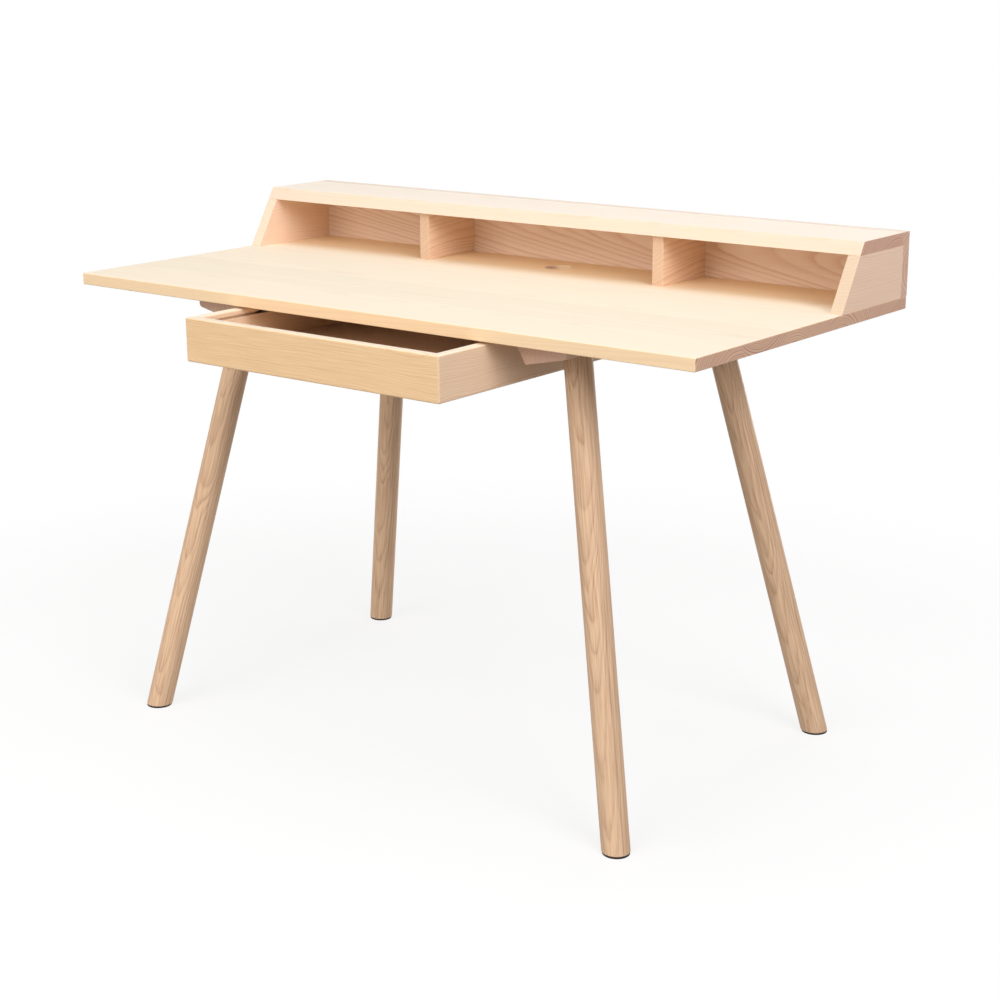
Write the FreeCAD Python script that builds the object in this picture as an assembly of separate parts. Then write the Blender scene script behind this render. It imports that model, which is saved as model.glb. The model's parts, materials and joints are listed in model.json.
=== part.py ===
import FreeCAD, Part
import os

# Student desk with a low hutch: a board top on four splayed round legs, with a shallow drawer
# hung under the top. Millimetres, +Z up, +X to the sitter's right, the sitter at -Y.
# The desk is modelled about the middle of its top; the last section moves every piece so that
# the origin is the middle of the whole object's base, with the drawer pulled out as it rests.

Vector = FreeCAD.Vector

# Desktop
desk_width = 1200.0
desk_depth = 600.0
desk_height = 740.0
desktop_thickness = 19.0
desktop_ease = 1.5
cable_hole_diameter = 45.0
cable_hole_from_back = 82.0

# Hutch
hutch_height = 100.0
hutch_board = 20.0
hutch_base_depth = 205.0
hutch_top_depth = 145.0
hutch_ease = 1.0
divider_span = 500.0

# Drawer box and how it is pulled out
drawer_width = 500.0
drawer_height = 68.0
drawer_depth = 450.0
drawer_board = 18.0
drawer_headroom = 4.0
drawer_recess = 20.0
drawer_pulled = 120.0
drawer_travel = 300.0
drawer_back_clearance = 4.0
panel_thickness = 6.0
panel_lift = 8.0
panel_tongue = 6.5
panel_slack = 0.2

# Splines that lock the drawer's mitred corners
spline_thickness = 4.0
spline_width = 12.0
spline_from_corner = 10.5
spline_lift = 20.0
spline_length = 32.0

# Steel runners that the drawer hangs on, and its stop
runner_sheet = 2.0
runner_bend = 1.0
runner_flange = 25.0
runner_drop = 14.0
runner_hook = 10.0
runner_side_gap = 3.0
runner_end_gap = 0.5
groove_depth = 8.0
groove_above = 0.3
groove_below = 2.0
stop_length = 60.0
stop_width = 20.0
stop_height = 24.0
stop_gap = 0.5

# Rails under the top that take the legs
rail_setback = 40.0
rail_drawer_gap = 23.0
rail_inner_reach = 50.0
rail_outer_reach = 42.0
rail_inner_rake = 20.0
rail_outer_height = 18.0
rail_corner_radius = 6.0

# Legs and feet
leg_diameter = 42.5
leg_end_inset = 81.0
leg_spread_x = 156.0
leg_spread_y = 111.0
pad_thickness = 3.0
pad_inset = 1.0

# Fasteners
fit_clearance = 0.05
dowel_diameter = 8.0
dowel_cover = 7.0
dowel_long_end = 17.0
dowel_inset = 40.0
back_dowel_count = 6
back_dowel_inset = 50.0
drawer_dowel_lift = 24.0
drawer_dowel_pitch = 20.0
bolt_diameter = 8.0
bolt_in_leg = 40.0
insert_diameter = 12.0
insert_length = 15.0
insert_sink = 1.5
screw_cover = 5.0
rail_screw_diameter = 4.5
rail_screw_head = 9.0
rail_screw_head_height = 3.0
rail_screw_grip = 18.0
rail_screw_count = 5
rail_screw_inset = 30.0
runner_screw_diameter = 3.5
runner_screw_head = 8.0
runner_screw_head_height = 2.4
runner_screw_count = 4
runner_screw_inset = 30.0
stop_screw_grip = 12.0
stop_screw_spacing = 36.0
head_clearance = 0.5

# Places worked out from the sizes
half_width = desk_width / 2
half_depth = desk_depth / 2
underside = desk_height - desktop_thickness

hutch_crown = desk_height + hutch_height
hutch_ceiling = hutch_crown - hutch_board
hutch_back_face = half_depth - hutch_board
hutch_base_front = half_depth - hutch_base_depth
hutch_top_front = half_depth - hutch_top_depth
hutch_rake = (hutch_base_depth - hutch_top_depth) / hutch_height
hutch_ceiling_front = hutch_top_front - hutch_rake * hutch_board
cheek_middle = half_width - hutch_board / 2
divider_middle = divider_span / 2 - hutch_board / 2

drawer_half = drawer_width / 2
drawer_inner_half = drawer_half - drawer_board
drawer_top = underside - drawer_headroom
drawer_base = drawer_top - drawer_height
drawer_closed_front = -half_depth + drawer_recess
drawer_front = drawer_closed_front - drawer_pulled
drawer_front_inside = drawer_front + drawer_board
drawer_end = drawer_front + drawer_depth
drawer_back_inside = drawer_end - drawer_board

runner_foot = underside - runner_drop
runner_web = drawer_inner_half - runner_side_gap
runner_start = drawer_closed_front + drawer_board + runner_end_gap
runner_end = drawer_closed_front + drawer_depth
drawer_back_top = runner_foot - drawer_back_clearance
stop_rear = drawer_back_inside + drawer_pulled - drawer_travel - stop_gap

rail_end = half_depth - rail_setback
rail_inner = drawer_half + rail_drawer_gap
leg_top_x = rail_inner + rail_inner_reach
leg_top_y = rail_end - leg_end_inset
rail_outer = leg_top_x + rail_outer_reach
rail_slope = leg_spread_x / underside
rail_inner_foot = rail_inner + rail_inner_rake
leg_radius = leg_diameter / 2

sides = {"left": -1, "right": 1}
ends = {"front": -1, "back": 1}


def box(x, y, z):
    """A box between the (low, high) limits along each axis."""
    lows = Vector(min(x), min(y), min(z))
    highs = Vector(max(x), max(y), max(z))
    size = highs - lows
    return Part.makeBox(size.x, size.y, size.z, lows)


def prism(corners, push):
    """The flat outline through the corners, pushed along a vector into a solid."""
    outline = Part.makePolygon(corners + corners[:1])
    return Part.Face(outline).extrude(push)


def rod(diameter, start, end):
    """A round bar between two points."""
    path = end - start
    return Part.makeCylinder(diameter / 2, path.Length, start, path)


def spread(low, high, count):
    """Evenly spaced places from low to high, both included."""
    step = (high - low) / (count - 1)
    return [low + step * index for index in range(count)]


def cut_all(shape, tools):
    """The shape with every tool cut out of it."""
    for tool in tools:
        shape = shape.cut(tool)
    return shape


def eased(shape, radius):
    """The shape with all its edges rounded over."""
    return shape.makeFillet(radius, shape.Edges)


def edges_at(shape, middles):
    """The straight edges of a shape whose middles lie at the given points."""
    return [edge for edge in shape.Edges for at in middles if edge.CenterOfMass.isEqual(at, fit_clearance)]


# Dowels: each is a point on the joint face, the way into the thinner board and its depth there


def dowel_bodies(joints):
    """The dowels, each reaching from its long end to its short end."""
    return [rod(dowel_diameter, at - way * dowel_long_end, at + way * depth) for at, way, depth in joints]


def dowel_holes(joints):
    """The holes for those dowels, a sliding fit wider."""
    bore = dowel_diameter + 2 * fit_clearance
    return [rod(bore, at - way * dowel_long_end, at + way * depth) for at, way, depth in joints]


def upright_dowels(x, floor_front, ceiling_front):
    """Dowels of one upright hutch board: two down into the desktop, two up into the top board."""
    down = Vector(0, 0, -1)
    up = Vector(0, 0, 1)
    rear = hutch_back_face - dowel_inset
    joints = []
    for y in (floor_front + dowel_inset, rear):
        joints.append((Vector(x, y, desk_height), down, desktop_thickness - dowel_cover))
    for y in (ceiling_front + dowel_inset, rear):
        joints.append((Vector(x, y, hutch_ceiling), up, hutch_board - dowel_cover))
    return joints


def back_panel_dowels():
    """Dowels from the back panel down into the desktop, and from the top board back into the panel."""
    down = Vector(0, 0, -1)
    back = Vector(0, 1, 0)
    panel_middle = half_depth - hutch_board / 2
    top_middle = hutch_crown - hutch_board / 2
    joints = []
    for x in spread(-half_width + back_dowel_inset, half_width - back_dowel_inset, back_dowel_count):
        joints.append((Vector(x, panel_middle, desk_height), down, desktop_thickness - dowel_cover))
        joints.append((Vector(x, hutch_back_face, top_middle), back, hutch_board - dowel_cover))
    return joints


def hutch_joints():
    """Every dowel joint of the hutch."""
    joints = back_panel_dowels()
    for side in sides.values():
        joints += upright_dowels(side * cheek_middle, hutch_base_front, hutch_ceiling_front)
        joints += upright_dowels(side * divider_middle, hutch_top_front, hutch_top_front)
    return joints


def drawer_joints():
    """Dowels from the drawer's back into its two sides."""
    joints = []
    middle = drawer_end - drawer_board / 2
    for side in sides.values():
        for step in (0, 1):
            z = drawer_base + drawer_dowel_lift + step * drawer_dowel_pitch
            at = Vector(side * drawer_inner_half, middle, z)
            joints.append((at, Vector(side, 0, 0), drawer_board - dowel_cover))
    return joints


# Screws: each is the point where its head bears, its length above that point and its sizes


def screw(bearing, length, diameter, head, head_height):
    """A wood screw driven upwards: a flat round head below the bearing point and a shank above it."""
    shank = rod(diameter, bearing, bearing + Vector(0, 0, length))
    cap = rod(head, bearing - Vector(0, 0, head_height), bearing)
    return shank.fuse(cap).removeSplitter()


def screw_hole(bearing, length, diameter):
    """The hole for a screw's shank."""
    return rod(diameter + 2 * fit_clearance, bearing, bearing + Vector(0, 0, length))


def head_pocket(bearing, head, foot):
    """The counterbore that lets a screw's head in from a height below."""
    return rod(head + 2 * head_clearance, Vector(bearing.x, bearing.y, foot), bearing)


def rail_screw_points(side):
    """Where the screws of one leg rail bear."""
    height = underside - rail_screw_grip
    places = spread(-rail_end + rail_screw_inset, rail_end - rail_screw_inset, rail_screw_count)
    return [Vector(side * leg_top_x, y, height) for y in places]


def runner_screw_points(side):
    """Where the screws of one runner bear, on the underside of its top flange."""
    x = side * (runner_web - runner_flange / 2)
    places = spread(runner_start + runner_screw_inset, runner_end - runner_screw_inset, runner_screw_count)
    return [Vector(x, y, underside - runner_sheet) for y in places]


def stop_screw_points():
    """Where the two screws of the drawer stop bear."""
    y = stop_rear - stop_width / 2
    height = underside - stop_screw_grip
    return [Vector(side * stop_screw_spacing / 2, y, height) for side in sides.values()]


rail_screw_length = rail_screw_grip + desktop_thickness - screw_cover
runner_screw_length = runner_sheet + desktop_thickness - screw_cover
stop_screw_length = stop_screw_grip + desktop_thickness - screw_cover


def all_screw_holes():
    """The pilot holes of every screw that ends in the desktop."""
    holes = []
    for side in sides.values():
        for at in rail_screw_points(side):
            holes.append(screw_hole(at, rail_screw_length, rail_screw_diameter))
        for at in runner_screw_points(side):
            holes.append(screw_hole(at, runner_screw_length, runner_screw_diameter))
    for at in stop_screw_points():
        holes.append(screw_hole(at, stop_screw_length, runner_screw_diameter))
    return holes


# Desktop


def make_desktop():
    """The board top with its cable hole near the back edge."""
    board = box((-half_width, half_width), (-half_depth, half_depth), (underside, desk_height))
    hole_y = half_depth - cable_hole_from_back
    hole = rod(cable_hole_diameter, Vector(0, hole_y, underside), Vector(0, hole_y, desk_height))
    floor_joints = [joint for joint in hutch_joints() if joint[1].z < 0]
    return cut_all(eased(board, desktop_ease), [hole] + dowel_holes(floor_joints) + all_screw_holes())


# Hutch


def make_back_panel():
    """The upright panel along the back edge, as wide as the desktop and as tall as the hutch."""
    panel = box((-half_width, half_width), (hutch_back_face, half_depth), (desk_height, hutch_crown))
    return cut_all(eased(panel, hutch_ease), dowel_holes(back_panel_dowels()))


def make_top_board():
    """The lid over the cheeks: it butts against the back panel, and its front follows the rake."""
    corners = [
        Vector(-half_width, hutch_ceiling_front, hutch_ceiling),
        Vector(-half_width, hutch_back_face, hutch_ceiling),
        Vector(-half_width, hutch_back_face, hutch_crown),
        Vector(-half_width, hutch_top_front, hutch_crown),
    ]
    board = eased(prism(corners, Vector(desk_width, 0, 0)), hutch_ease)
    upper_joints = [joint for joint in hutch_joints() if joint[1].z >= 0]
    return cut_all(board, dowel_holes(upper_joints))


def make_cheek(side):
    """The end board of the hutch, with its front edge raked back."""
    x = side * cheek_middle - hutch_board / 2
    corners = [
        Vector(x, hutch_base_front, desk_height),
        Vector(x, hutch_back_face, desk_height),
        Vector(x, hutch_back_face, hutch_ceiling),
        Vector(x, hutch_ceiling_front, hutch_ceiling),
    ]
    board = eased(prism(corners, Vector(hutch_board, 0, 0)), hutch_ease)
    joints = upright_dowels(side * cheek_middle, hutch_base_front, hutch_ceiling_front)
    return cut_all(board, dowel_holes(joints))


def make_divider(side):
    """The upright partition of the hutch, with a plumb front edge."""
    x = side * divider_middle
    board = box(
        (x - hutch_board / 2, x + hutch_board / 2),
        (hutch_top_front, hutch_back_face),
        (desk_height, hutch_ceiling),
    )
    joints = upright_dowels(x, hutch_top_front, hutch_top_front)
    return cut_all(eased(board, hutch_ease), dowel_holes(joints))


# Leg rails, legs and feet


def rail_foot_height(x):
    """The height of a rail's sloping underside at a distance from the desk's middle."""
    return underside - rail_outer_height - rail_slope * (rail_outer - x)


def leg_axis(side, end):
    """A leg's seat on the rail, its unit way up, and its centre on the floor."""
    top = Vector(side * leg_top_x, end * leg_top_y, underside)
    foot = Vector(side * (leg_top_x + leg_spread_x), end * (leg_top_y + leg_spread_y), 0)
    below_top = rail_outer_height + rail_slope * rail_outer_reach
    share = below_top / (underside + rail_slope * leg_spread_x)
    seat = top + (foot - top) * share
    way_up = (top - foot).normalize()
    return seat, way_up, foot


def insert_hole(side, end):
    """The hole in a rail for a threaded insert, open at the leg's seat."""
    seat, way_up, foot = leg_axis(side, end)
    deep = seat + way_up * (insert_sink + insert_length)
    return rod(insert_diameter + 2 * fit_clearance, seat - way_up * leg_radius, deep)


def make_rail(side):
    """The rail that two legs stand against, its underside square to their sideways splay."""
    corners = [
        Vector(side * rail_inner, -rail_end, underside),
        Vector(side * rail_outer, -rail_end, underside),
        Vector(side * rail_outer, -rail_end, rail_foot_height(rail_outer)),
        Vector(side * rail_inner_foot, -rail_end, rail_foot_height(rail_inner_foot)),
    ]
    rail = prism(corners, Vector(0, 2 * rail_end, 0))
    corner = Vector(side * rail_outer, 0, rail_foot_height(rail_outer))
    rail = rail.makeFillet(rail_corner_radius, edges_at(rail, [corner]))
    tools = [insert_hole(side, end) for end in ends.values()]
    for at in rail_screw_points(side):
        tools.append(screw_hole(at, rail_screw_grip, rail_screw_diameter))
        tools.append(head_pocket(at, rail_screw_head, rail_foot_height(rail_inner_foot)))
    return cut_all(rail, tools)


def splayed_bar(side, end, diameter):
    """A long bar on a leg's axis, past both of its ends."""
    seat, way_up, foot = leg_axis(side, end)
    return rod(diameter, foot - way_up * leg_diameter, seat + way_up * leg_diameter)


def make_leg(side, end):
    """A round leg: cut level above its pad and cut to the rail's slope at its seat."""
    seat, way_up, foot = leg_axis(side, end)
    reach = half_width + leg_spread_x
    depth = half_depth + leg_spread_y
    room = [
        Vector(0, -depth, pad_thickness),
        Vector(side * reach, -depth, pad_thickness),
        Vector(side * reach, -depth, rail_foot_height(reach)),
        Vector(0, -depth, rail_foot_height(0)),
    ]
    bar = splayed_bar(side, end, leg_diameter).common(prism(room, Vector(0, 2 * depth, 0)))
    hole = rod(bolt_diameter + 2 * fit_clearance, seat - way_up * bolt_in_leg, seat + way_up * leg_radius)
    return bar.cut(hole)


def make_pad(side, end):
    """The felt pad under a leg, following the leg's slant."""
    reach = half_width + leg_spread_x
    depth = half_depth + leg_spread_y
    slab = box((-reach, reach), (-depth, depth), (0, pad_thickness))
    return splayed_bar(side, end, leg_diameter - 2 * pad_inset).common(slab)


def make_bolts():
    """The bolts that screw into the legs and stand up into the rails."""
    bolts = []
    for side in sides.values():
        for end in ends.values():
            seat, way_up, foot = leg_axis(side, end)
            tip = seat + way_up * (insert_sink + insert_length)
            bolts.append(rod(bolt_diameter, seat - way_up * bolt_in_leg, tip))
    return Part.makeCompound(bolts)


def make_inserts():
    """The threaded inserts set into the rails for those bolts."""
    inserts = []
    for side in sides.values():
        for end in ends.values():
            seat, way_up, foot = leg_axis(side, end)
            near = seat + way_up * insert_sink
            far = near + way_up * insert_length
            bore = rod(bolt_diameter + 2 * fit_clearance, near, far)
            inserts.append(rod(insert_diameter, near, far).cut(bore))
    return Part.makeCompound(inserts)


def make_rail_screws():
    """The screws that hold both rails up to the desktop."""
    sizes = (rail_screw_length, rail_screw_diameter, rail_screw_head, rail_screw_head_height)
    points = [at for side in sides.values() for at in rail_screw_points(side)]
    return Part.makeCompound([screw(at, *sizes) for at in points])


# Drawer runners and stop


def make_runner(side):
    """A bent steel runner: a flange under the desktop, a web, and a hook into the drawer's groove."""
    sheet = runner_sheet
    tip = runner_web + runner_hook
    inner = runner_web - sheet
    flange = runner_web - runner_flange
    section = [
        (flange, underside),
        (runner_web, underside),
        (runner_web, runner_foot + sheet),
        (tip, runner_foot + sheet),
        (tip, runner_foot),
        (inner, runner_foot),
        (inner, underside - sheet),
        (flange, underside - sheet),
    ]
    corners = [Vector(side * x, runner_start, z) for x, z in section]
    runner = prism(corners, Vector(0, runner_end - runner_start, 0))
    middle = (runner_start + runner_end) / 2
    inside_bends = [Vector(side * section[index][0], middle, section[index][1]) for index in (2, 6)]
    outside_bends = [Vector(side * section[index][0], middle, section[index][1]) for index in (1, 5)]
    for bends, radius in ((inside_bends, runner_bend), (outside_bends, runner_bend + sheet)):
        runner = runner.makeFillet(radius, edges_at(runner, bends))
    holes = [screw_hole(at, sheet, runner_screw_diameter) for at in runner_screw_points(side)]
    return cut_all(runner, holes)


def make_runner_screws():
    """The screws that hold both runners up to the desktop."""
    sizes = (runner_screw_length, runner_screw_diameter, runner_screw_head, runner_screw_head_height)
    points = [at for side in sides.values() for at in runner_screw_points(side)]
    return Part.makeCompound([screw(at, *sizes) for at in points])


def make_stop():
    """The block under the desktop that the drawer's back meets when the drawer is fully open."""
    foot = underside - stop_height
    block = box((-stop_length / 2, stop_length / 2), (stop_rear - stop_width, stop_rear), (foot, underside))
    tools = []
    for at in stop_screw_points():
        tools.append(screw_hole(at, stop_screw_grip, runner_screw_diameter))
        tools.append(head_pocket(at, runner_screw_head, foot))
    return cut_all(block, tools)


def make_stop_screws():
    """The two screws that hold the stop."""
    sizes = (stop_screw_length, runner_screw_diameter, runner_screw_head, runner_screw_head_height)
    return Part.makeCompound([screw(at, *sizes) for at in stop_screw_points()])


# Drawer


def panel_slot():
    """The room that the drawer's bottom panel takes in the four boards around it."""
    reach = drawer_inner_half + panel_tongue + panel_slack
    tongue = panel_tongue + panel_slack
    low = drawer_base + panel_lift
    return box(
        (-reach, reach),
        (drawer_front_inside - tongue, drawer_back_inside + tongue),
        (low, low + panel_thickness + panel_slack),
    )


def spline_body(side, slack):
    """The thin strip across one mitred front corner; slack widens it into its slot."""
    along = Vector(side, -1, 0).normalize()
    across = Vector(side, 1, 0).normalize()
    middle = Vector(side * drawer_inner_half, drawer_front_inside, drawer_base + spline_lift)
    middle += along * spline_from_corner
    half_thick = along * (spline_thickness / 2 + slack)
    half_wide = across * (spline_width / 2 + slack)
    corners = [
        middle - half_thick - half_wide,
        middle + half_thick - half_wide,
        middle + half_thick + half_wide,
        middle - half_thick + half_wide,
    ]
    return prism(corners, Vector(0, 0, spline_length))


def make_drawer_front():
    """The drawer's front board, mitred at both ends."""
    corners = [
        Vector(-drawer_half, drawer_front, drawer_base),
        Vector(drawer_half, drawer_front, drawer_base),
        Vector(drawer_inner_half, drawer_front_inside, drawer_base),
        Vector(-drawer_inner_half, drawer_front_inside, drawer_base),
    ]
    board = prism(corners, Vector(0, 0, drawer_height))
    slots = [spline_body(side, fit_clearance) for side in sides.values()]
    return cut_all(board, [panel_slot()] + slots)


def make_drawer_side(side):
    """A drawer side, mitred at the front, with the groove that hangs on the runner."""
    corners = [
        Vector(side * drawer_half, drawer_front, drawer_base),
        Vector(side * drawer_half, drawer_end, drawer_base),
        Vector(side * drawer_inner_half, drawer_end, drawer_base),
        Vector(side * drawer_inner_half, drawer_front_inside, drawer_base),
    ]
    board = prism(corners, Vector(0, 0, drawer_height))
    groove = box(
        (side * drawer_inner_half, side * (drawer_inner_half + groove_depth)),
        (drawer_front, drawer_end),
        (runner_foot - groove_below, runner_foot + runner_sheet + groove_above),
    )
    cuts = [groove, panel_slot(), spline_body(side, fit_clearance)]
    return cut_all(board, cuts + dowel_holes(drawer_joints()))


def make_drawer_back():
    """The drawer's back board, low enough to pass under the runners."""
    board = box(
        (-drawer_inner_half, drawer_inner_half),
        (drawer_back_inside, drawer_end),
        (drawer_base, drawer_back_top),
    )
    return cut_all(board, [panel_slot()] + dowel_holes(drawer_joints()))


def make_drawer_bottom():
    """The thin panel that slides into the slots of the four boards."""
    reach = drawer_inner_half + panel_tongue
    low = drawer_base + panel_lift
    return box(
        (-reach, reach),
        (drawer_front_inside - panel_tongue, drawer_back_inside + panel_tongue),
        (low, low + panel_thickness),
    )


def make_splines():
    """Both corner splines."""
    return Part.makeCompound([spline_body(side, 0) for side in sides.values()])


# All the pieces by name

pieces = {
    "desktop": make_desktop(),
    "hutch_back_panel": make_back_panel(),
    "hutch_top_board": make_top_board(),
    "hutch_dowels": Part.makeCompound(dowel_bodies(hutch_joints())),
    "leg_bolts": make_bolts(),
    "leg_inserts": make_inserts(),
    "rail_screws": make_rail_screws(),
    "runner_screws": make_runner_screws(),
    "drawer_stop": make_stop(),
    "drawer_stop_screws": make_stop_screws(),
    "drawer_front": make_drawer_front(),
    "drawer_back": make_drawer_back(),
    "drawer_bottom": make_drawer_bottom(),
    "drawer_splines": make_splines(),
    "drawer_dowels": Part.makeCompound(dowel_bodies(drawer_joints())),
}
for side_name, side in sides.items():
    pieces["hutch_cheek_" + side_name] = make_cheek(side)
    pieces["hutch_divider_" + side_name] = make_divider(side)
    pieces["leg_rail_" + side_name] = make_rail(side)
    pieces["drawer_runner_" + side_name] = make_runner(side)
    pieces["drawer_side_" + side_name] = make_drawer_side(side)
    for end_name, end in ends.items():
        pieces["leg_" + end_name + "_" + side_name] = make_leg(side, end)
        pieces["foot_pad_" + end_name + "_" + side_name] = make_pad(side, end)

# Move the middle of the whole object's base to the origin and write each piece

bounds = Part.makeCompound(list(pieces.values())).optimalBoundingBox(False)
to_origin = Vector(-bounds.Center.x, -bounds.Center.y, -bounds.ZMin)
os.makedirs("parts", exist_ok=True)
for name, shape in pieces.items():
    shape.translate(to_origin)
    shape.exportStep("parts/" + name + ".step")
print("moved by", to_origin, "size", bounds.XLength, bounds.YLength, bounds.ZLength)
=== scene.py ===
"""Looks of the student desk with hutch: eased ash boards, splayed round legs and a mitred drawer.

Metres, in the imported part's own frame: +X to the sitter's right, +Y towards the hutch, +Z up.
Each board is one closed surface: an outline carried through the levels of its edge profile.
"""

import json
import logging
import math
from dataclasses import dataclass, field, replace
from enum import Enum
from itertools import product
from typing import Any, Sequence

import bmesh
import bpy
import numpy as np
from mathutils import Matrix, Vector


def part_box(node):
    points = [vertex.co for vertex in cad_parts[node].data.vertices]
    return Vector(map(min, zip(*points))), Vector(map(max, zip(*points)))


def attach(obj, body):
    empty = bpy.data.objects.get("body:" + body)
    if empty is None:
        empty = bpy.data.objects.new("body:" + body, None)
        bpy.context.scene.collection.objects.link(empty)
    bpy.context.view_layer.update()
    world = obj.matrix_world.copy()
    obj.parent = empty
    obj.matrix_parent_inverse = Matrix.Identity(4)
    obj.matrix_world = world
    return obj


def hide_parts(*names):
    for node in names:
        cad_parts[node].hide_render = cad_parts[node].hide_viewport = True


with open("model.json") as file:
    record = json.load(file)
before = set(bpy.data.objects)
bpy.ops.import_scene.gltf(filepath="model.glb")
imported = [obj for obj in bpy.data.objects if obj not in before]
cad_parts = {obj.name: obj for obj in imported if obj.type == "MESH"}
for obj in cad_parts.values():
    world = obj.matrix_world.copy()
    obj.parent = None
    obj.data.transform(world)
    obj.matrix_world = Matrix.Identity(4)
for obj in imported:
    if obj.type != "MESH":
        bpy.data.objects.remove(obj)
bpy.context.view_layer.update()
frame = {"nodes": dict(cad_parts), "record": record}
log = logging.getLogger("student_desk")

SHARP_ANGLE = math.radians(38)
WELD = 1e-6
BUMP_STRENGTH = 0.6
Colour = tuple[float, float, float]
Pitch = tuple[float, float, float]
AXIS_X = Vector((1, 0, 0))
AXIS_Y = Vector((0, 1, 0))
AXIS_Z = Vector((0, 0, 1))


class Body(Enum):
    """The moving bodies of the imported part."""

    DESK = "desk"
    DRAWER = "drawer"


class Slot(Enum):
    """The record's material slots."""

    BOARD = "ash_board"
    FRAME = "ash_frame"
    DRAWER = "ash_drawer"
    FELT = "felt"


class Place(Enum):
    """Where a piece stands, which is part of its node's name."""

    @property
    def word(self) -> str:
        """The word that node names use."""
        return self.name.lower()


class Side(Place):
    """Left or right of the sitter."""

    LEFT = -1
    RIGHT = 1


class End(Place):
    """The sitter's end of the desk, or the hutch's."""

    FRONT = -1
    BACK = 1


class Axis(Enum):
    """The axis that an outline is carried along: how far (a, b, height) rolls round to (x, y, z)."""

    Z = 0
    X = 1


# Outlines and surfaces


def quarter_round(ease: float, steps: int) -> tuple[np.ndarray, np.ndarray, np.ndarray]:
    """Works out the rows of an eased edge over a quarter turn.

    The inset is ease times (1 - sin), the rise is ease times (1 - cos), and the wear is the sine of
    twice the turn.

    Args:
        ease: Radius of the edge.
        steps: Number of rows.

    Returns:
        Each row's inset, rise and wear, from the face to the side.
    """
    turn = np.linspace(0, math.pi / 2, steps)
    return ease * (1 - np.sin(turn)), ease * (1 - np.cos(turn)), np.sin(2 * turn)


@dataclass(frozen=True)
class Outline:
    """A closed line in a plane, counter-clockwise, that can be drawn in and notched.

    Attributes:
        points: Where each point lies, in rows of two.
        slides: How each point moves when the line grows by one metre, in rows of two.
        notches: How each point moves when its face grows by one metre, in rows of two.
    """

    points: np.ndarray
    slides: np.ndarray
    notches: np.ndarray

    @classmethod
    def arc(
        cls, centre: Sequence[float], radius: float, first: float, last: float, steps: int = 5
    ) -> "Outline":
        """Makes a round stretch: centre plus radius times (cos, sin), the angle in even steps.

        Args:
            centre: Middle of the arc.
            radius: Radius of the arc.
            first: First angle in degrees.
            last: Last angle in degrees.
            steps: Number of points.

        Returns:
            The stretch, whose points slide along their radii.
        """
        angle = np.radians(np.linspace(first, last, steps))
        slides = np.stack([np.cos(angle), np.sin(angle)], axis=1)
        return cls(np.asarray(centre) + radius * slides, slides, np.zeros_like(slides))

    @classmethod
    def corner(cls, point: Sequence[float], slide: Sequence[float]) -> "Outline":
        """Makes a sharp corner that slides and is notched along one line, as at a mitre."""
        return cls(np.array([point]), np.array([slide]), np.array([slide]))

    @classmethod
    def joined(cls, *stretches: "Outline") -> "Outline":
        """Joins stretches, end to end, into one closed line.

        Args:
            stretches: The stretches, counter-clockwise.

        Returns:
            The closed outline.
        """
        return cls(
            np.concatenate([stretch.points for stretch in stretches]),
            np.concatenate([stretch.slides for stretch in stretches]),
            np.concatenate([stretch.notches for stretch in stretches]),
        )

    @classmethod
    def rounded(cls, corners: Sequence[Sequence[float]], radius: float, steps: int = 5) -> "Outline":
        """Rounds every corner of a polygon.

        The arc at a corner has its centre one radius inside both sides, and its angle runs in even
        steps from the normal of the side before to the normal of the side after.

        Args:
            corners: Corners of a convex polygon, counter-clockwise.
            radius: Radius at each corner.
            steps: Number of points in each arc.

        Returns:
            The rounded outline, without notches.
        """
        corner = np.asarray(corners, dtype=float)
        side = np.roll(corner, -1, axis=0) - corner
        after = np.stack([side[:, 1], -side[:, 0]], axis=1) / np.linalg.norm(side, axis=1)[:, None]
        before = np.roll(after, 1, axis=0)
        cosine = np.sum(before * after, axis=1)
        sine = before[:, 0] * after[:, 1] - before[:, 1] * after[:, 0]
        centre = corner - radius * (before + after) / (1 + cosine)[:, None]
        start = np.arctan2(before[:, 1], before[:, 0])
        angle = start[:, None] + np.arctan2(sine, cosine)[:, None] * np.linspace(0, 1, steps)
        slides = np.stack([np.cos(angle), np.sin(angle)], axis=2).reshape(-1, 2)
        points = np.repeat(centre, steps, axis=0) + radius * slides
        return cls(points, slides, np.zeros_like(points))

    def notched(self, face: Sequence[float]) -> "Outline":
        """Lets the half of the line that lies towards a face be cut back along that face's normal.

        Args:
            face: Outward normal of the face.

        Returns:
            The same outline with notches on that half.
        """
        normal = np.asarray(face, dtype=float)
        towards = (self.points - self.points.mean(axis=0)) @ normal > 0
        return Outline(self.points, self.slides, towards[:, None] * normal)

    def mirrored(self) -> "Outline":
        """Swaps left and right, and turns the order round to stay counter-clockwise."""
        flip = np.array([-1.0, 1.0])
        return Outline(self.points[::-1] * flip, self.slides[::-1] * flip, self.notches[::-1] * flip)


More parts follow.
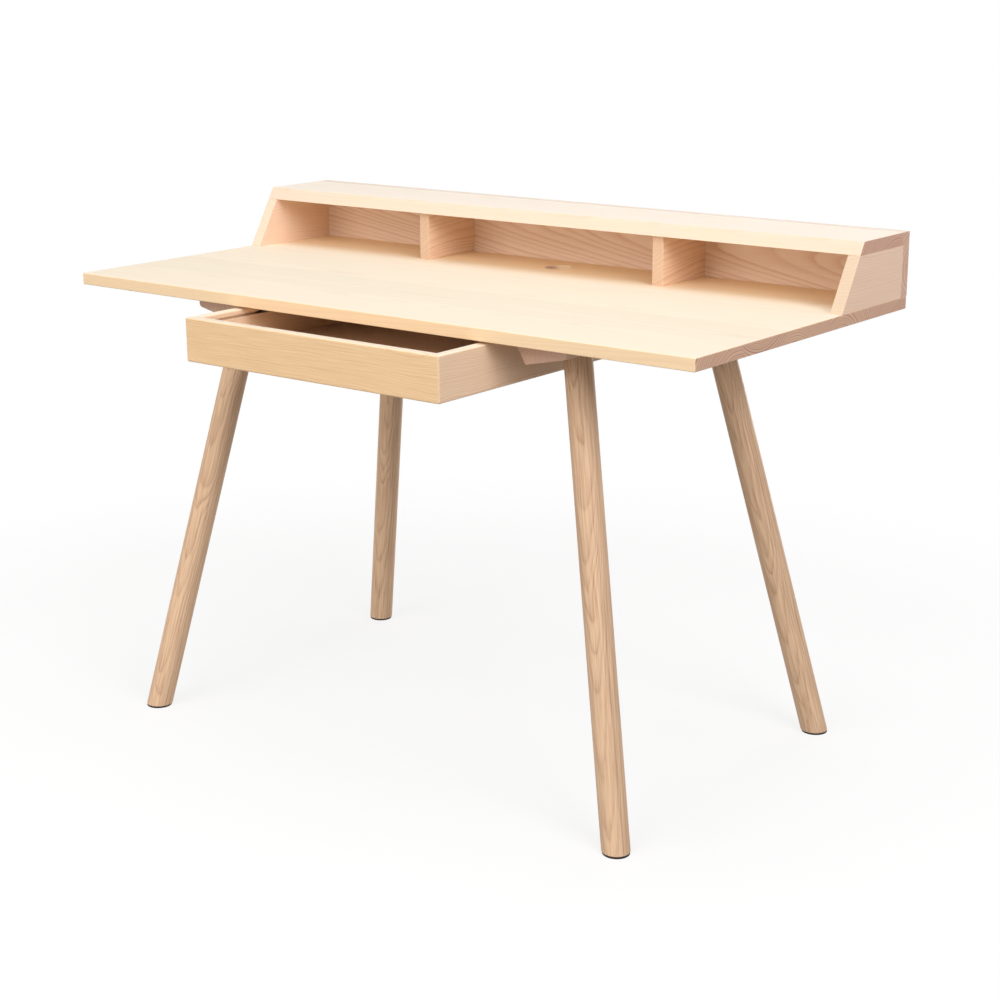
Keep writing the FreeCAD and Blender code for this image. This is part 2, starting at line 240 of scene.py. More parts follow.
@dataclass(frozen=True)
class Levels:
    """The levels that an outline is carried through, from a board's lower face to its upper one.

    Attributes:
        inset: How far the outline is drawn in at each level.
        height: Where each level lies.
        notch: How far the notched face is cut back at each level.
        wear: How much hands rub each level, from 0 to 1, which also places a painted edge highlight.
    """

    inset: np.ndarray
    height: np.ndarray
    notch: np.ndarray
    wear: np.ndarray

    @classmethod
    def eased(
        cls,
        low: float,
        high: float,
        ease: float,
        grooves: Sequence[tuple[float, float, float]] = (),
        steps: int = 6,
    ) -> "Levels":
        """Makes a board's levels: a quarter round, the grooves, and a quarter round turned over.

        Args:
            low: Height of the lower face.
            high: Height of the upper face.
            ease: Radius of the edges.
            grooves: Bottom, top and depth of each groove in the notched face, lowest first.
            steps: Number of levels in each quarter round.

        Returns:
            The levels, lowest first.
        """
        inset, rise, rub = quarter_round(ease, steps)
        cuts = [[bottom, bottom, top, top, depth] for bottom, top, depth in grooves]
        cuts = np.array(cuts).reshape(-1, 5)
        depths = cuts[:, 4:] * np.array([0, 1, 1, 0])
        none = np.zeros(depths.size)
        return cls(
            np.concatenate([inset, none, inset[::-1]]),
            np.concatenate([low + rise, cuts[:, :4].ravel(), high - rise[::-1]]),
            np.concatenate([np.zeros(steps), depths.ravel(), np.zeros(steps)]),
            np.concatenate([rub, none, rub[::-1]]),
        )


def carried(outline: Outline, levels: Levels, axis: Axis = Axis.Z) -> np.ndarray:
    """Carries an outline through levels.

    Point (v, u) is the outline's point u less level v's inset along its slide and level v's notch
    along its notch, at level v's height.

    Args:
        outline: The outline.
        levels: The levels.
        axis: Axis that the levels follow.

    Returns:
        The grid of points, levels by outline by three.
    """
    drawn_in = levels.inset[:, None, None] * outline.slides
    cut_back = levels.notch[:, None, None] * outline.notches
    flat = outline.points - drawn_in - cut_back
    height = np.broadcast_to(levels.height[:, None, None], (*flat.shape[:2], 1))
    return np.roll(np.concatenate([flat, height], axis=2), axis.value, axis=2)


def linked(name: str, data: bpy.types.ID) -> bpy.types.Object:
    """Makes an object of a mesh, a lamp or a camera, and links it to the scene.

    Args:
        name: Name of the object.
        data: The mesh, lamp or camera.

    Returns:
        The object.
    """
    made = bpy.data.objects.new(name, data)
    bpy.context.scene.collection.objects.link(made)
    return made


def skinned(name: str, grid: np.ndarray, wear: np.ndarray, ring: bool = False) -> bpy.types.Object:
    """Turns a grid whose rows close on themselves into one closed mesh.

    Args:
        name: Name of the piece.
        grid: Points, rows by columns by three. Rows run upwards and columns counter-clockwise.
        wear: How worn each row is, which also places a painted edge highlight.
        ring: Joins the last row to the first instead of capping both.

    Returns:
        The piece, linked to the scene.
    """
    rows, columns = grid.shape[:2]
    index = np.arange(rows * columns).reshape(rows, columns)
    strip = np.vstack([index, index[:1]]) if ring else index
    ahead = np.roll(strip, -1, axis=1)
    faces = np.stack([strip[:-1], ahead[:-1], ahead[1:], strip[1:]], axis=2).reshape(-1, 4).tolist()
    if not ring:
        faces += [index[0, ::-1].tolist(), index[-1].tolist()]
    mesh = bpy.data.meshes.new(name)
    mesh.from_pydata(grid.reshape(-1, 3).tolist(), [], faces)
    rub_and_edge_highlight = mesh.attributes.new("wear", "FLOAT", "POINT")
    rub_and_edge_highlight.data.foreach_set("value", np.repeat(wear, columns).astype(np.float32))
    welded = bmesh.new()
    welded.from_mesh(mesh)
    bmesh.ops.remove_doubles(welded, verts=welded.verts, dist=WELD)
    welded.to_mesh(mesh)
    welded.free()
    mesh.shade_smooth()
    mesh.set_sharp_from_angle(angle=SHARP_ANGLE)
    piece = linked(name, mesh)
    even = piece.modifiers.new("even_shading", "WEIGHTED_NORMAL")
    even.keep_sharp = True
    return piece


@dataclass(frozen=True)
class Plane:
    """All points whose product with the normal is the offset."""

    normal: np.ndarray
    offset: float


@dataclass(frozen=True)
class RoundBar:
    """A round bar that leans, cut off by two planes.

    Attributes:
        start: A point on its axis.
        along: Unit vector up its axis.
        radius: Its radius.
        low: Plane that cuts its lower end.
        high: Plane that cuts its upper end.
        ease: Radius of the edge at each end.
    """

    start: np.ndarray
    along: np.ndarray
    radius: float
    low: Plane
    high: Plane
    ease: float

    def met(self, spokes: np.ndarray, plane: Plane) -> np.ndarray:
        """How far along the axis the line through each spoke's end meets a plane."""
        return (plane.offset - (self.start + spokes) @ plane.normal) / (self.along @ plane.normal)

    def grid(self, columns: int = 72, runs: int = 12, steps: int = 6) -> tuple[np.ndarray, np.ndarray]:
        """Works out the bar's surface.

        Point (v, u) lies at angle u round the axis. Its radius is the bar's less the quarter round's
        inset near each end, and its place along the axis goes from the lower cut to the upper one, in
        by the quarter round's rise at each end.

        Args:
            columns: Points round the bar.
            runs: Rows between the two eased ends.
            steps: Rows in each eased end.

        Returns:
            The grid of points and the wear of each row.
        """
        across = np.cross(np.array([0.0, 1.0, 0.0]), self.along)
        across /= np.linalg.norm(across)
        angle = np.linspace(0, 2 * math.pi, columns, endpoint=False)[:, None]
        spoke = np.cos(angle) * across + np.sin(angle) * np.cross(self.along, across)
        inset, rise, rub = quarter_round(self.ease, steps)
        end = np.zeros(steps)
        between = np.zeros(runs)
        share = np.concatenate([end, np.linspace(0, 1, runs + 2)[1:-1], end + 1])
        radius = self.radius - np.concatenate([inset, between, inset[::-1]])
        lift = np.concatenate([rise, between + self.ease, rise[::-1]])
        spokes = radius[:, None, None] * spoke
        first = self.met(spokes, self.low) + lift[:, None]
        last = self.met(spokes, self.high) - lift[:, None]
        place = (1 - share)[:, None] * first + share[:, None] * last
        wear = np.concatenate([rub, between, end])
        return self.start + spokes + place[:, :, None] * self.along, wear


# Finishes


class Bench:
    """Lays out and links the shader nodes of one material."""

    def __init__(self, name: str) -> None:
        """Starts an empty material of this name.

        Args:
            name: Name of the material.
        """
        self.material = bpy.data.materials.new(name)
        self.material.use_nodes = True
        self.tree = self.material.node_tree
        self.tree.nodes.clear()

    def add(self, kind: str, **settings: Any) -> bpy.types.Node:
        """Adds a node and sets its properties.

        Args:
            kind: Type of the node.
            settings: Its properties, by name.

        Returns:
            The node.
        """
        node = self.tree.nodes.new(kind)
        for key, value in settings.items():
            setattr(node, key, value)
        return node

    def feed(self, socket: bpy.types.NodeSocket, value: Any) -> None:
        """Links another node's output to a socket, or sets a plain value on it.

        Args:
            socket: The input to feed.
            value: Another node's output, or a plain value.
        """
        if isinstance(value, bpy.types.NodeSocket):
            self.tree.links.new(value, socket)
        else:
            socket.default_value = value

    def joined(self, kind: str, operation: str, values: Sequence[Any]) -> bpy.types.Node:
        """Adds an arithmetic node and feeds its inputs in order.

        Args:
            kind: Type of the node.
            operation: What it does.
            values: Outputs or plain values.

        Returns:
            The node.
        """
        node = self.add(kind, operation=operation)
        for socket, value in zip(node.inputs, values):
            self.feed(socket, value)
        return node

    def math(self, operation: str, *values: Any) -> bpy.types.NodeSocket:
        """Joins numbers by one arithmetic operation."""
        return self.joined("ShaderNodeMath", operation, values).outputs[0]

    def scaled(self, value: Any, factor: Any, added: Any) -> bpy.types.NodeSocket:
        """Gives a number times a factor, plus another number."""
        return self.math("MULTIPLY_ADD", value, factor, added)

    def vector(self, operation: str, *values: Any) -> bpy.types.NodeSocket:
        """Joins vectors by an operation that gives a vector."""
        return self.joined("ShaderNodeVectorMath", operation, values).outputs["Vector"]

    def measure(self, operation: str, *values: Any) -> bpy.types.NodeSocket:
        """Joins vectors by an operation that gives a number."""
        return self.joined("ShaderNodeVectorMath", operation, values).outputs["Value"]

    def place(self) -> bpy.types.NodeSocket:
        """Gives the point's place on the piece."""
        return self.add("ShaderNodeTexCoord").outputs["Object"]

    def normal(self) -> bpy.types.NodeSocket:
        """Gives the direction that the surface faces on the piece."""
        return self.add("ShaderNodeTexCoord").outputs["Normal"]

    def parts(self, vector: Any) -> list[bpy.types.NodeSocket]:
        """Splits a vector into its three numbers.

        Args:
            vector: The vector.

        Returns:
            The numbers.
        """
        node = self.add("ShaderNodeSeparateXYZ")
        self.feed(node.inputs[0], vector)
        return list(node.outputs)

    def combined(self, *numbers: Any) -> bpy.types.NodeSocket:
        """Makes a vector of up to three numbers.

        Args:
            numbers: The numbers, where those left out are 0.

        Returns:
            The vector.
        """
        node = self.add("ShaderNodeCombineXYZ")
        for socket, number in zip(node.inputs, numbers):
            self.feed(socket, number)
        return node.outputs[0]

    def noise(self, place: Any, pitch: Sequence[float], detail: float) -> bpy.types.NodeSocket:
        """Gives soft noise about 0, from -0.5 to 0.5.

        Args:
            place: Where to read it.
            pitch: Number of swells per metre along each axis.
            detail: Octaves of finer noise.

        Returns:
            The noise.
        """
        node = self.add("ShaderNodeTexNoise")
        self.feed(node.inputs["Vector"], self.vector("MULTIPLY", place, tuple(pitch)))
        self.feed(node.inputs["Scale"], 1.0)
        self.feed(node.inputs["Detail"], detail)
        return self.math("SUBTRACT", node.outputs[0], 0.5)

    def dice(self, number: Any) -> list[bpy.types.NodeSocket]:
        """Gives three random numbers from 0 to 1 that depend on one number.

        Args:
            number: What they depend on.

        Returns:
            The random numbers, the same in each run.
        """
        node = self.add("ShaderNodeTexWhiteNoise", noise_dimensions="1D")
        self.feed(node.inputs["W"], number)
        return self.parts(node.outputs["Color"])

    def ramp(self, value: Any, stops: Sequence[tuple[float, float]]) -> bpy.types.NodeSocket:
        """Bends a number through grey stops of place and level.

        Args:
            value: The number, from 0 to 1.
            stops: Place and level of each stop, in order.

        Returns:
            The level, in a straight line between the stops.
        """
        node = self.add("ShaderNodeValToRGB")
        stretch = node.color_ramp.elements
        for _ in range(len(stops) - len(stretch)):
            stretch.new(0.5)
        for stop, (where, level) in zip(stretch, stops):
            stop.position = where
            stop.color = (level, level, level, 1.0)
        self.feed(node.inputs[0], value)
        return node.outputs[0]

    def between(self, value: Any, low: float, high: float) -> bpy.types.NodeSocket:
        """Rises smoothly from 0 at low to 1 at high.

        Args:
            value: The number.
            low: Where the rise starts.
            high: Where it ends.

        Returns:
            The share, from 0 to 1.
        """
        node = self.add("ShaderNodeMapRange", interpolation_type="SMOOTHSTEP")
        self.feed(node.inputs["Value"], value)
        self.feed(node.inputs["From Min"], low)
        self.feed(node.inputs["From Max"], high)
        return node.outputs[0]

    def mixed(self, share: Any, first: Any, second: Any, mode: str = "MIX") -> bpy.types.NodeSocket:
        """Mixes two colours by a share from 0 to 1.

        Args:
            share: Share of the second colour.
            first: First colour.
            second: Second colour.
            mode: How the second colour acts on the first.

        Returns:
            The mixed colour.
        """
        node = self.add("ShaderNodeMix", data_type="RGBA", blend_type=mode, clamp_factor=True)
        self.feed(node.inputs[0], share)
        for socket, colour in zip((node.inputs[6], node.inputs[7]), (first, second)):
            self.feed(socket, colour if isinstance(colour, bpy.types.NodeSocket) else (*colour, 1.0))
        return node.outputs[2]

    def tinted(self, colour: Any, tint: Any) -> bpy.types.NodeSocket:
        """Multiplies a colour by another."""
        return self.mixed(1.0, colour, tint, "MULTIPLY")

    def ended(self, shader: bpy.types.NodeSocket) -> bpy.types.Material:
        """Ends the material in a shader and gives it back.

        Args:
            shader: The shader's output.

        Returns:
            The finished material.
        """
        output = self.add("ShaderNodeOutputMaterial")
        self.feed(output.inputs["Surface"], shader)
        return self.material

    def surfaced(
        self, colour: Any, roughness: Any, height: Any, depth: float, **values: float
    ) -> bpy.types.Material:
        """Ends the material in its surface.

        Args:
            colour: Base colour.
            roughness: Roughness.
            height: Height of the surface, about 0 to 1.
            depth: What a height of 1 stands for, in metres.
            values: Other numbers of the shader, by socket name with _ for spaces.

        Returns:
            The finished material.
        """
        bump = self.add("ShaderNodeBump")
        self.feed(bump.inputs["Strength"], BUMP_STRENGTH)
        self.feed(bump.inputs["Distance"], depth)
        self.feed(bump.inputs["Height"], height)
        shader = self.add("ShaderNodeBsdfPrincipled")
        self.feed(shader.inputs["Base Color"], colour)
        self.feed(shader.inputs["Roughness"], roughness)
        self.feed(shader.inputs["Normal"], bump.outputs[0])
        for key, value in values.items():
            self.feed(shader.inputs[key.replace("_", " ")], value)
        return self.ended(shader.outputs[0])


@dataclass(frozen=True)
class Figure:
    """How a board was sawn from the tree, which gives its pattern of growth rings.

    Attributes:
        ring: Width of a year's growth.
        heart: How far the heart of the tree lies to the side of the board's middle.
        pith: How far the heart lies under the face.
        taper: How fast the rings run out along the board.
        slant: How fast the heart goes to the side along the board.
        wander: How far the rings stray.
        stave: Width of the staves that the board is glued from.
        variety: How much the staves differ, from 0 to 1.
    """

    ring: float
    heart: float
    pith: float
    taper: float
    slant: float = 0.0
    wander: float = 0.012
    stave: float = 0.4
    variety: float = 0.0


@dataclass(frozen=True)
class Grain:
    """How the timber lies in one piece.

    Attributes:
        node: Node that the piece stands for.
        along: Direction of the fibres.
        across: Direction over the face, across the fibres.
        figure: How the piece was sawn.
    """

    node: str
    along: Vector
    across: Vector
    figure: Figure

    @property
    def plank(self) -> int:
        """Number of the plank that the piece is cut from."""
        return PLANKS[self.node]

    def place(self, bench: Bench) -> bpy.types.NodeSocket:
        """Gives the point's place along, across and through the plank, from the node's middle.

        Args:
            bench: Bench of the plank's material.

        Returns:
            The place, in metres.
        """
        low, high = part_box(self.node)
        turn = Matrix((self.along, self.across, self.along.cross(self.across)))
        node = bench.add("ShaderNodeMapping", vector_type="POINT")
        bench.feed(node.inputs["Vector"], bench.place())
        bench.feed(node.inputs["Rotation"], turn.to_euler())
        bench.feed(node.inputs["Location"], -(turn @ ((low + high) / 2)))
        return node.outputs[0]


@dataclass(frozen=True)
class Swells:
    """Noise that is drawn out along a plank.

    Attributes:
        along: Number of swells per metre along the plank.
        across: Number of swells per metre across the plank and through it.
        detail: Octaves of finer noise.
    """

    along: float
    across: float
    detail: float


class Timber:
    """One plank as solid timber: where its staves, growth rings and fibres lie."""

    def __init__(self, bench: Bench, grain: Grain) -> None:
        """Lays the plank out, and throws dice for each of its staves.

        Args:
            bench: Bench of the plank's material.
            grain: How the timber lies in the piece.
        """
        self.bench = bench
        self.figure = grain.figure
        self.plank = grain.plank
        place = grain.place(bench)
        self.along, self.across, self.through = bench.parts(place)
        self.stave = bench.math("FLOOR", bench.scaled(self.across, 1 / self.figure.stave, 0.5))
        dice = bench.dice(bench.math("ADD", self.stave, self.plank * PLANK_DICE))
        self.first, self.second, self.third = dice
        shift = bench.scaled(self.third, STAVE_SHIFT, self.plank * PLANK_SHIFT)
        self.spot = bench.vector("ADD", place, bench.combined(shift))
        self.curl = self.noise(CURL)

    def noise(self, swells: Swells) -> bpy.types.NodeSocket:
        """Gives noise that is drawn out along the plank and differs from stave to stave."""
        pitch = (swells.along, swells.across, swells.across)
        return self.bench.noise(self.spot, pitch, swells.detail)

    def aside(self) -> bpy.types.NodeSocket:
        """Gives how far to the side of its stave's heart the point lies.

        The heart's place in the figure is slanted along the plank, shuffled from stave to stave and
        swayed by noise.

        Returns:
            The distance in metres.
        """
        bench, figure = self.bench, self.figure
        aside = bench.scaled(self.stave, -figure.stave, self.across)
        aside = bench.math("SUBTRACT", aside, figure.heart)
        aside = bench.scaled(self.along, figure.slant, aside)
        shuffle = bench.math("SUBTRACT", 0.5, self.first)
        aside = bench.scaled(shuffle, figure.variety * figure.stave, aside)
        return bench.scaled(self.noise(SWAY), figure.wander, aside)

    def above(self) -> bpy.types.NodeSocket:
        """Gives how far above its stave's heart the point lies.

        The heart lies under the face by the figure's depth, more in some staves, and over the face in
        staves that are glued in the other way up.

        Returns:
            The distance in metres.
        """
        bench, figure = self.bench, self.figure
        over = bench.math("GREATER_THAN", self.second, 0.5 * figure.variety)
        deeper = bench.scaled(self.third, figure.variety * figure.pith, figure.pith)
        depth = bench.math("MULTIPLY", deeper, bench.scaled(over, -2.0, 1.0))
        return bench.math("SUBTRACT", self.through, depth)

    def years(self) -> bpy.types.NodeSocket:
        """Gives the year of growth at the point.

        The year is the distance from the heart, which tapers along the plank and strays, divided by
        the width of a ring. Good and bad seasons move the rings apart and together.

        Returns:
            The year and the share of it that has passed.
        """
        bench, figure = self.bench, self.figure
        squares = [bench.math("POWER", distance, 2.0) for distance in (self.aside(), self.above())]
        radius = bench.math("SQRT", bench.math("ADD", *squares))
        run_out = bench.scaled(self.first, -2 * figure.variety * figure.taper, figure.taper)
        radius = bench.scaled(self.along, run_out, radius)
        radius = bench.scaled(self.noise(SWELL), SWELL_WANDER * figure.wander, radius)
        radius = bench.scaled(self.curl, CURL_WANDER * figure.wander, radius)
        years = bench.scaled(self.stave, STAVE_YEARS, bench.math("DIVIDE", radius, figure.ring))
        place = bench.combined(years, self.plank * PLANK_SEASONS)
        seasons = bench.noise(place, SEASON_PITCH, detail=0.0)
        return bench.scaled(seasons, SEASON_SPREAD, years)


@dataclass(frozen=True)
class Ash:
    """Ash under a matt clear finish, with growth rings worked out as solid timber.

    Attributes:
        name: Start of the material's name.
        pale: Colour of the dense summer wood.
        deep: Colour of the porous spring wood.
        strength: How far the spring wood goes towards its colour.
        fibres: How far single fibres go towards that colour.
        streaks: How far long mineral streaks go towards that colour.
        cut: What a sawn end's colour is multiplied by.
        painted_sheen: What the colour of an upper face is multiplied by: a painted sheen that makes it
            paler.
        painted_shade_span: Where, across the board, the painted sheen starts to fade and where it has
            gone, which paints the shade under what stands over the board.
        end_rings: How clearly the growth rings show on a sawn end, from 0 to 1.
        tint: How much the staves differ in lightness.
        roughness: Roughness of the finish.
        gloss: How strongly the finish mirrors, where 0.5 is plain varnish.
    """

    name: str
    pale: Colour
    deep: Colour
    strength: float = 0.6
    fibres: float = 0.35
    streaks: float = 0.1
    cut: Colour = (0.88, 0.78, 0.78)
    painted_sheen: Colour = (1.0, 1.0, 1.0)
    painted_shade_span: tuple[float, float] = (1.0, 2.0)
    end_rings: float = 1.0
    tint: float = 0.05
    roughness: float = 0.45
    gloss: float = 0.2

    def material(self, grain: Grain) -> bpy.types.Material:
        """Makes the material of one piece.

        Within a year the spring wood starts sharply and fades into the summer wood. Fibres, pores,
        clouds and streaks are noise drawn out along the plank. Sawn ends have a colour of their own.
        Edges where hands rub are pale, which is wear and also a painted highlight along the eased
        edges. Upper faces get a painted sheen, which fades out across the board into painted shade.

        Args:
            grain: How the timber lies in the piece.

        Returns:
            The material.
        """
        bench = Bench(f"{self.name}_{grain.plank}")
        timber = Timber(bench, grain)
        normal = bench.normal()
        facing = bench.math("ABSOLUTE", bench.measure("DOT_PRODUCT", normal, tuple(grain.along)))
        cut_end = bench.between(facing, *END_FACING)
        wear = bench.add("ShaderNodeAttribute", attribute_name="wear").outputs["Fac"]

        years = timber.years()
        year = bench.math("FLOOR", years)
        spring = bench.ramp(bench.math("SUBTRACT", years, year), SPRING_WOOD)
        growth = bench.scaled(bench.dice(year)[0], 1 - LEAN_YEAR, LEAN_YEAR)
        band = bench.math("MULTIPLY", spring, growth)
        band = bench.math("MULTIPLY", band, bench.scaled(cut_end, self.end_rings - 1, 1.0))
        fibre = timber.noise(FIBRE)
        pores = bench.between(timber.noise(PORE), *PORE_NOISE)
        pores = bench.math("MULTIPLY", pores, bench.scaled(spring, 1 - SUMMER_PORES, SUMMER_PORES))
        streak = bench.between(timber.noise(STREAK), *STREAK_NOISE)

        share = bench.scaled(band, self.strength, GROUND_SHARE)
        share = bench.scaled(fibre, self.fibres, share)
        share = bench.scaled(pores, PORE_SHARE * self.strength, share)
        share = bench.scaled(timber.noise(CLOUD), CLOUD_SHARE * self.strength, share)
        share = bench.scaled(streak, self.streaks, share)
        colour = bench.mixed(share, self.pale, self.deep)
        light = bench.scaled(bench.math("SUBTRACT", timber.second, 0.5), 2 * self.tint, 1.0)
        colour = bench.tinted(colour, bench.combined(light, light, light))
        ringed = bench.math("MULTIPLY", cut_end, bench.scaled(band, END_RING_SHARE, END_GROUND_SHARE))
        colour = bench.mixed(ringed, colour, bench.tinted(colour, self.cut))
        # Eased edges go pale: partly worn by hands, partly a painted highlight where the round edge
        # catches light
        rub_and_edge_highlight = bench.math("MULTIPLY", wear, bench.scaled(timber.curl, RUB_UNEVEN, RUB_AND_HIGHLIGHT_SHARE))
        colour = bench.mixed(rub_and_edge_highlight, colour, self.pale)
        # Upper faces get a painted sheen: their colour is multiplied to look paler
        upper = bench.between(bench.measure("DOT_PRODUCT", normal, tuple(AXIS_Z)), *UPPER_FACING)
        # The painted sheen fades out across the board, which paints the shade under what stands over it,
        # such as the hutch on the desktop
        outside_painted_shade = bench.math("SUBTRACT", 1.0, bench.between(timber.across, *self.painted_shade_span))
        painted_sheen_share = bench.math("MULTIPLY", upper, outside_painted_shade)
        colour = bench.mixed(painted_sheen_share, colour, bench.tinted(colour, self.painted_sheen))

        roughness = bench.scaled(band, BAND_ROUGHNESS, self.roughness)
        roughness = bench.scaled(fibre, FIBRE_ROUGHNESS, roughness)
        roughness = bench.scaled(wear, WEAR_ROUGHNESS, roughness)
        height = bench.scaled(pores, PORE_HEIGHT, bench.math("MULTIPLY", band, BAND_HEIGHT))
        height = bench.scaled(fibre, FIBRE_HEIGHT, height)
        return bench.surfaced(colour, roughness, height, WOOD_RELIEF, Specular_IOR_Level=self.gloss)


@dataclass(frozen=True)
class Beech:
    """Raw beech for dowels and splines, with short dark flecks.

    Attributes:
        name: Name of the material.
        pale: Colour between the flecks.
        deep: Colour of the flecks.
        cloud_pitch: Clouds per metre.
        fleck_pitch: Flecks per metre.
        fleck_noise: Noise at which a fleck starts and at which it is full.
        ground_share: Share of the flecks' colour that is everywhere.
        fleck_share: Share that a fleck adds.
        roughness: Mean roughness.
        unevenness: How much the clouds change the roughness.
        relief: Height of the flecks.
        gloss: How strongly the surface mirrors.
    """

    name: str = "raw_beech"
    pale: Colour = (0.66, 0.46, 0.29)
    deep: Colour = (0.42, 0.25, 0.14)
    cloud_pitch: Pitch = (60.0, 60.0, 60.0)
    fleck_pitch: Pitch = (900.0, 900.0, 900.0)
    fleck_noise: tuple[float, float] = (0.1, 0.22)
    ground_share: float = 0.3
    fleck_share: float = 0.5
    roughness: float = 0.7
    unevenness: float = 0.2
    relief: float = 0.0002
    gloss: float = 0.3

    def material(self) -> bpy.types.Material:
        """Makes the material: soft clouds, and flecks about a millimetre long.

        Returns:
            The material.
        """
        bench = Bench(self.name)
        place = bench.place()
        cloud = bench.noise(place, self.cloud_pitch, detail=3.0)
        flecks = bench.between(bench.noise(place, self.fleck_pitch, detail=2.0), *self.fleck_noise)
        ground = bench.math("ADD", cloud, self.ground_share)
        colour = bench.mixed(bench.scaled(flecks, self.fleck_share, ground), self.pale, self.deep)
        roughness = bench.scaled(cloud, self.unevenness, self.roughness)
        return bench.surfaced(colour, roughness, flecks, self.relief, Specular_IOR_Level=self.gloss)


@dataclass(frozen=True)
class Felt:
    """Dark pressed felt.

    Attributes:
        name: Name of the material.
        hair: Colour of the hairs.
        gap: Colour between the hairs.
        hair_pitch: Hairs per metre along each axis, for hairs laid one way.
        cross_pitch: Hairs per metre along each axis, for hairs laid the other way.
        contrast: How sharply hairs stand out from the gaps.
        ground: Share of the hairs' colour at middling noise.
        roughness: Roughness in the gaps.
        unevenness: How much hairs change the roughness.
        relief: Height of the hairs.
        gloss: How strongly the surface mirrors.
        sheen: How strongly fine fluff shows from the side.
    """

    name: str = "dark_felt"
    hair: Colour = (0.055, 0.045, 0.04)
    gap: Colour = (0.012, 0.010, 0.009)
    hair_pitch: Pitch = (2600.0, 500.0, 900.0)
    cross_pitch: Pitch = (450.0, 2400.0, 900.0)
    contrast: float = 2.0
    ground: float = 0.3
    roughness: float = 0.85
    unevenness: float = 0.1
    relief: float = 0.0004
    gloss: float = 0.2
    sheen: float = 0.3

    def material(self) -> bpy.types.Material:
        """Makes the material: matted hairs, as fine noise laid two ways.

        Returns:
            The material.
        """
        bench = Bench(self.name)
        place = bench.place()
        one_way = bench.noise(place, self.hair_pitch, detail=3.0)
        other_way = bench.noise(place, self.cross_pitch, detail=3.0)
        hairs = bench.scaled(bench.math("MAXIMUM", one_way, other_way), self.contrast, self.ground)
        colour = bench.mixed(hairs, self.gap, self.hair)
        roughness = bench.scaled(hairs, self.unevenness, self.roughness)
        shine = {"Specular_IOR_Level": self.gloss, "Sheen_Weight": self.sheen}
        return bench.surfaced(colour, roughness, hairs, self.relief, **shine)


@dataclass(frozen=True)
class CoatedSteel:
    """Sheet steel under a satin black coating.

    Attributes:
        name: Name of the material.
        coat: Colour of the coating.
        scuff: Colour where it is scuffed.
        peel_pitch: Dimples per metre in the coating.
        scuff_pitch: Scuffs per metre along each axis, long in the drawer's direction.
        scuff_noise: Noise at which a scuff starts and at which it is full.
        scuff_share: How far a scuff goes towards its colour.
        roughness: Mean roughness.
        unevenness: How much the dimples change the roughness.
        polish: How much smoother a scuff is.
        relief: Height of the dimples.
        gloss: How strongly the coating mirrors.
    """

    name: str = "black_coating"
    coat: Colour = (0.022, 0.020, 0.019)
    scuff: Colour = (0.10, 0.09, 0.085)
    peel_pitch: Pitch = (1400.0, 1400.0, 1400.0)
    scuff_pitch: Pitch = (700.0, 6.0, 700.0)
    scuff_noise: tuple[float, float] = (0.1, 0.25)
    scuff_share: float = 0.7
    roughness: float = 0.42
    unevenness: float = 0.1
    polish: float = 0.12
    relief: float = 0.0001
    gloss: float = 0.5

    def material(self) -> bpy.types.Material:
        """Makes the material: a fine orange-peel coat with long scuffs where the drawer slides.

        Returns:
            The material.
        """
        bench = Bench(self.name)
        place = bench.place()
        peel = bench.noise(place, self.peel_pitch, detail=1.0)
        scuffs = bench.between(bench.noise(place, self.scuff_pitch, detail=3.0), *self.scuff_noise)
        colour = bench.mixed(bench.math("MULTIPLY", scuffs, self.scuff_share), self.coat, self.scuff)
        roughness = bench.scaled(peel, self.unevenness, self.roughness)
        roughness = bench.scaled(scuffs, -self.polish, roughness)
        return bench.surfaced(colour, roughness, peel, self.relief, Specular_IOR_Level=self.gloss)


@dataclass(frozen=True)
class PlatedSteel:
    """Zinc plated steel of screws, bolts and inserts.

    Attributes:
        name: Name of the material.
        bright: Colour of bright plating.
        dull: Colour of dull plating.
        cloud_pitch: Clouds per metre.
        mark_pitch: Turning marks per metre along each axis.
        ground_share: Share of the dull colour at middling noise.
        roughness: Mean roughness.
        unevenness: How much the clouds change the roughness.
        relief: Height of the marks.
    """

    name: str = "zinc_plate"
    bright: Colour = (0.60, 0.61, 0.62)
    dull: Colour = (0.36, 0.36, 0.35)
    cloud_pitch: Pitch = (180.0, 180.0, 180.0)
    mark_pitch: Pitch = (300.0, 300.0, 3000.0)
    ground_share: float = 0.4
    roughness: float = 0.38
    unevenness: float = 0.25
    relief: float = 0.00005

    def material(self) -> bpy.types.Material:
        """Makes the material: a cloudy plating with fine turning marks.

        Returns:
            The material.
        """
        bench = Bench(self.name)
        place = bench.place()
        cloud = bench.noise(place, self.cloud_pitch, detail=3.0)
        marks = bench.noise(place, self.mark_pitch, detail=2.0)
        colour = bench.mixed(bench.math("ADD", cloud, self.ground_share), self.bright, self.dull)
        roughness = bench.scaled(cloud, self.unevenness, self.roughness)
        return bench.surfaced(colour, roughness, marks, self.relief, Metallic=1.0)


# Noise in the timber, from long swaying of the rings to single pores

SWAY = Swells(along=4.2, across=8.0, detail=1.0)
SWELL = Swells(along=7.0, across=22.0, detail=1.0)
CURL = Swells(along=25.0, across=110.0, detail=2.0)
CLOUD = Swells(along=1.1, across=6.0, detail=2.0)
STREAK = Swells(along=1.4, across=75.0, detail=3.0)
FIBRE = Swells(along=14.0, across=420.0, detail=3.0)
PORE = Swells(along=70.0, across=1900.0, detail=1.0)

# How far swell and curl move the rings, as shares of the figure's wander
SWELL_WANDER = 0.35
CURL_WANDER = 0.06

# How far seasons move the rings, in years, and how many swells of seasons there are per year
SEASON_SPREAD = 2.6
SEASON_PITCH = (0.3, 1.0, 1.0)

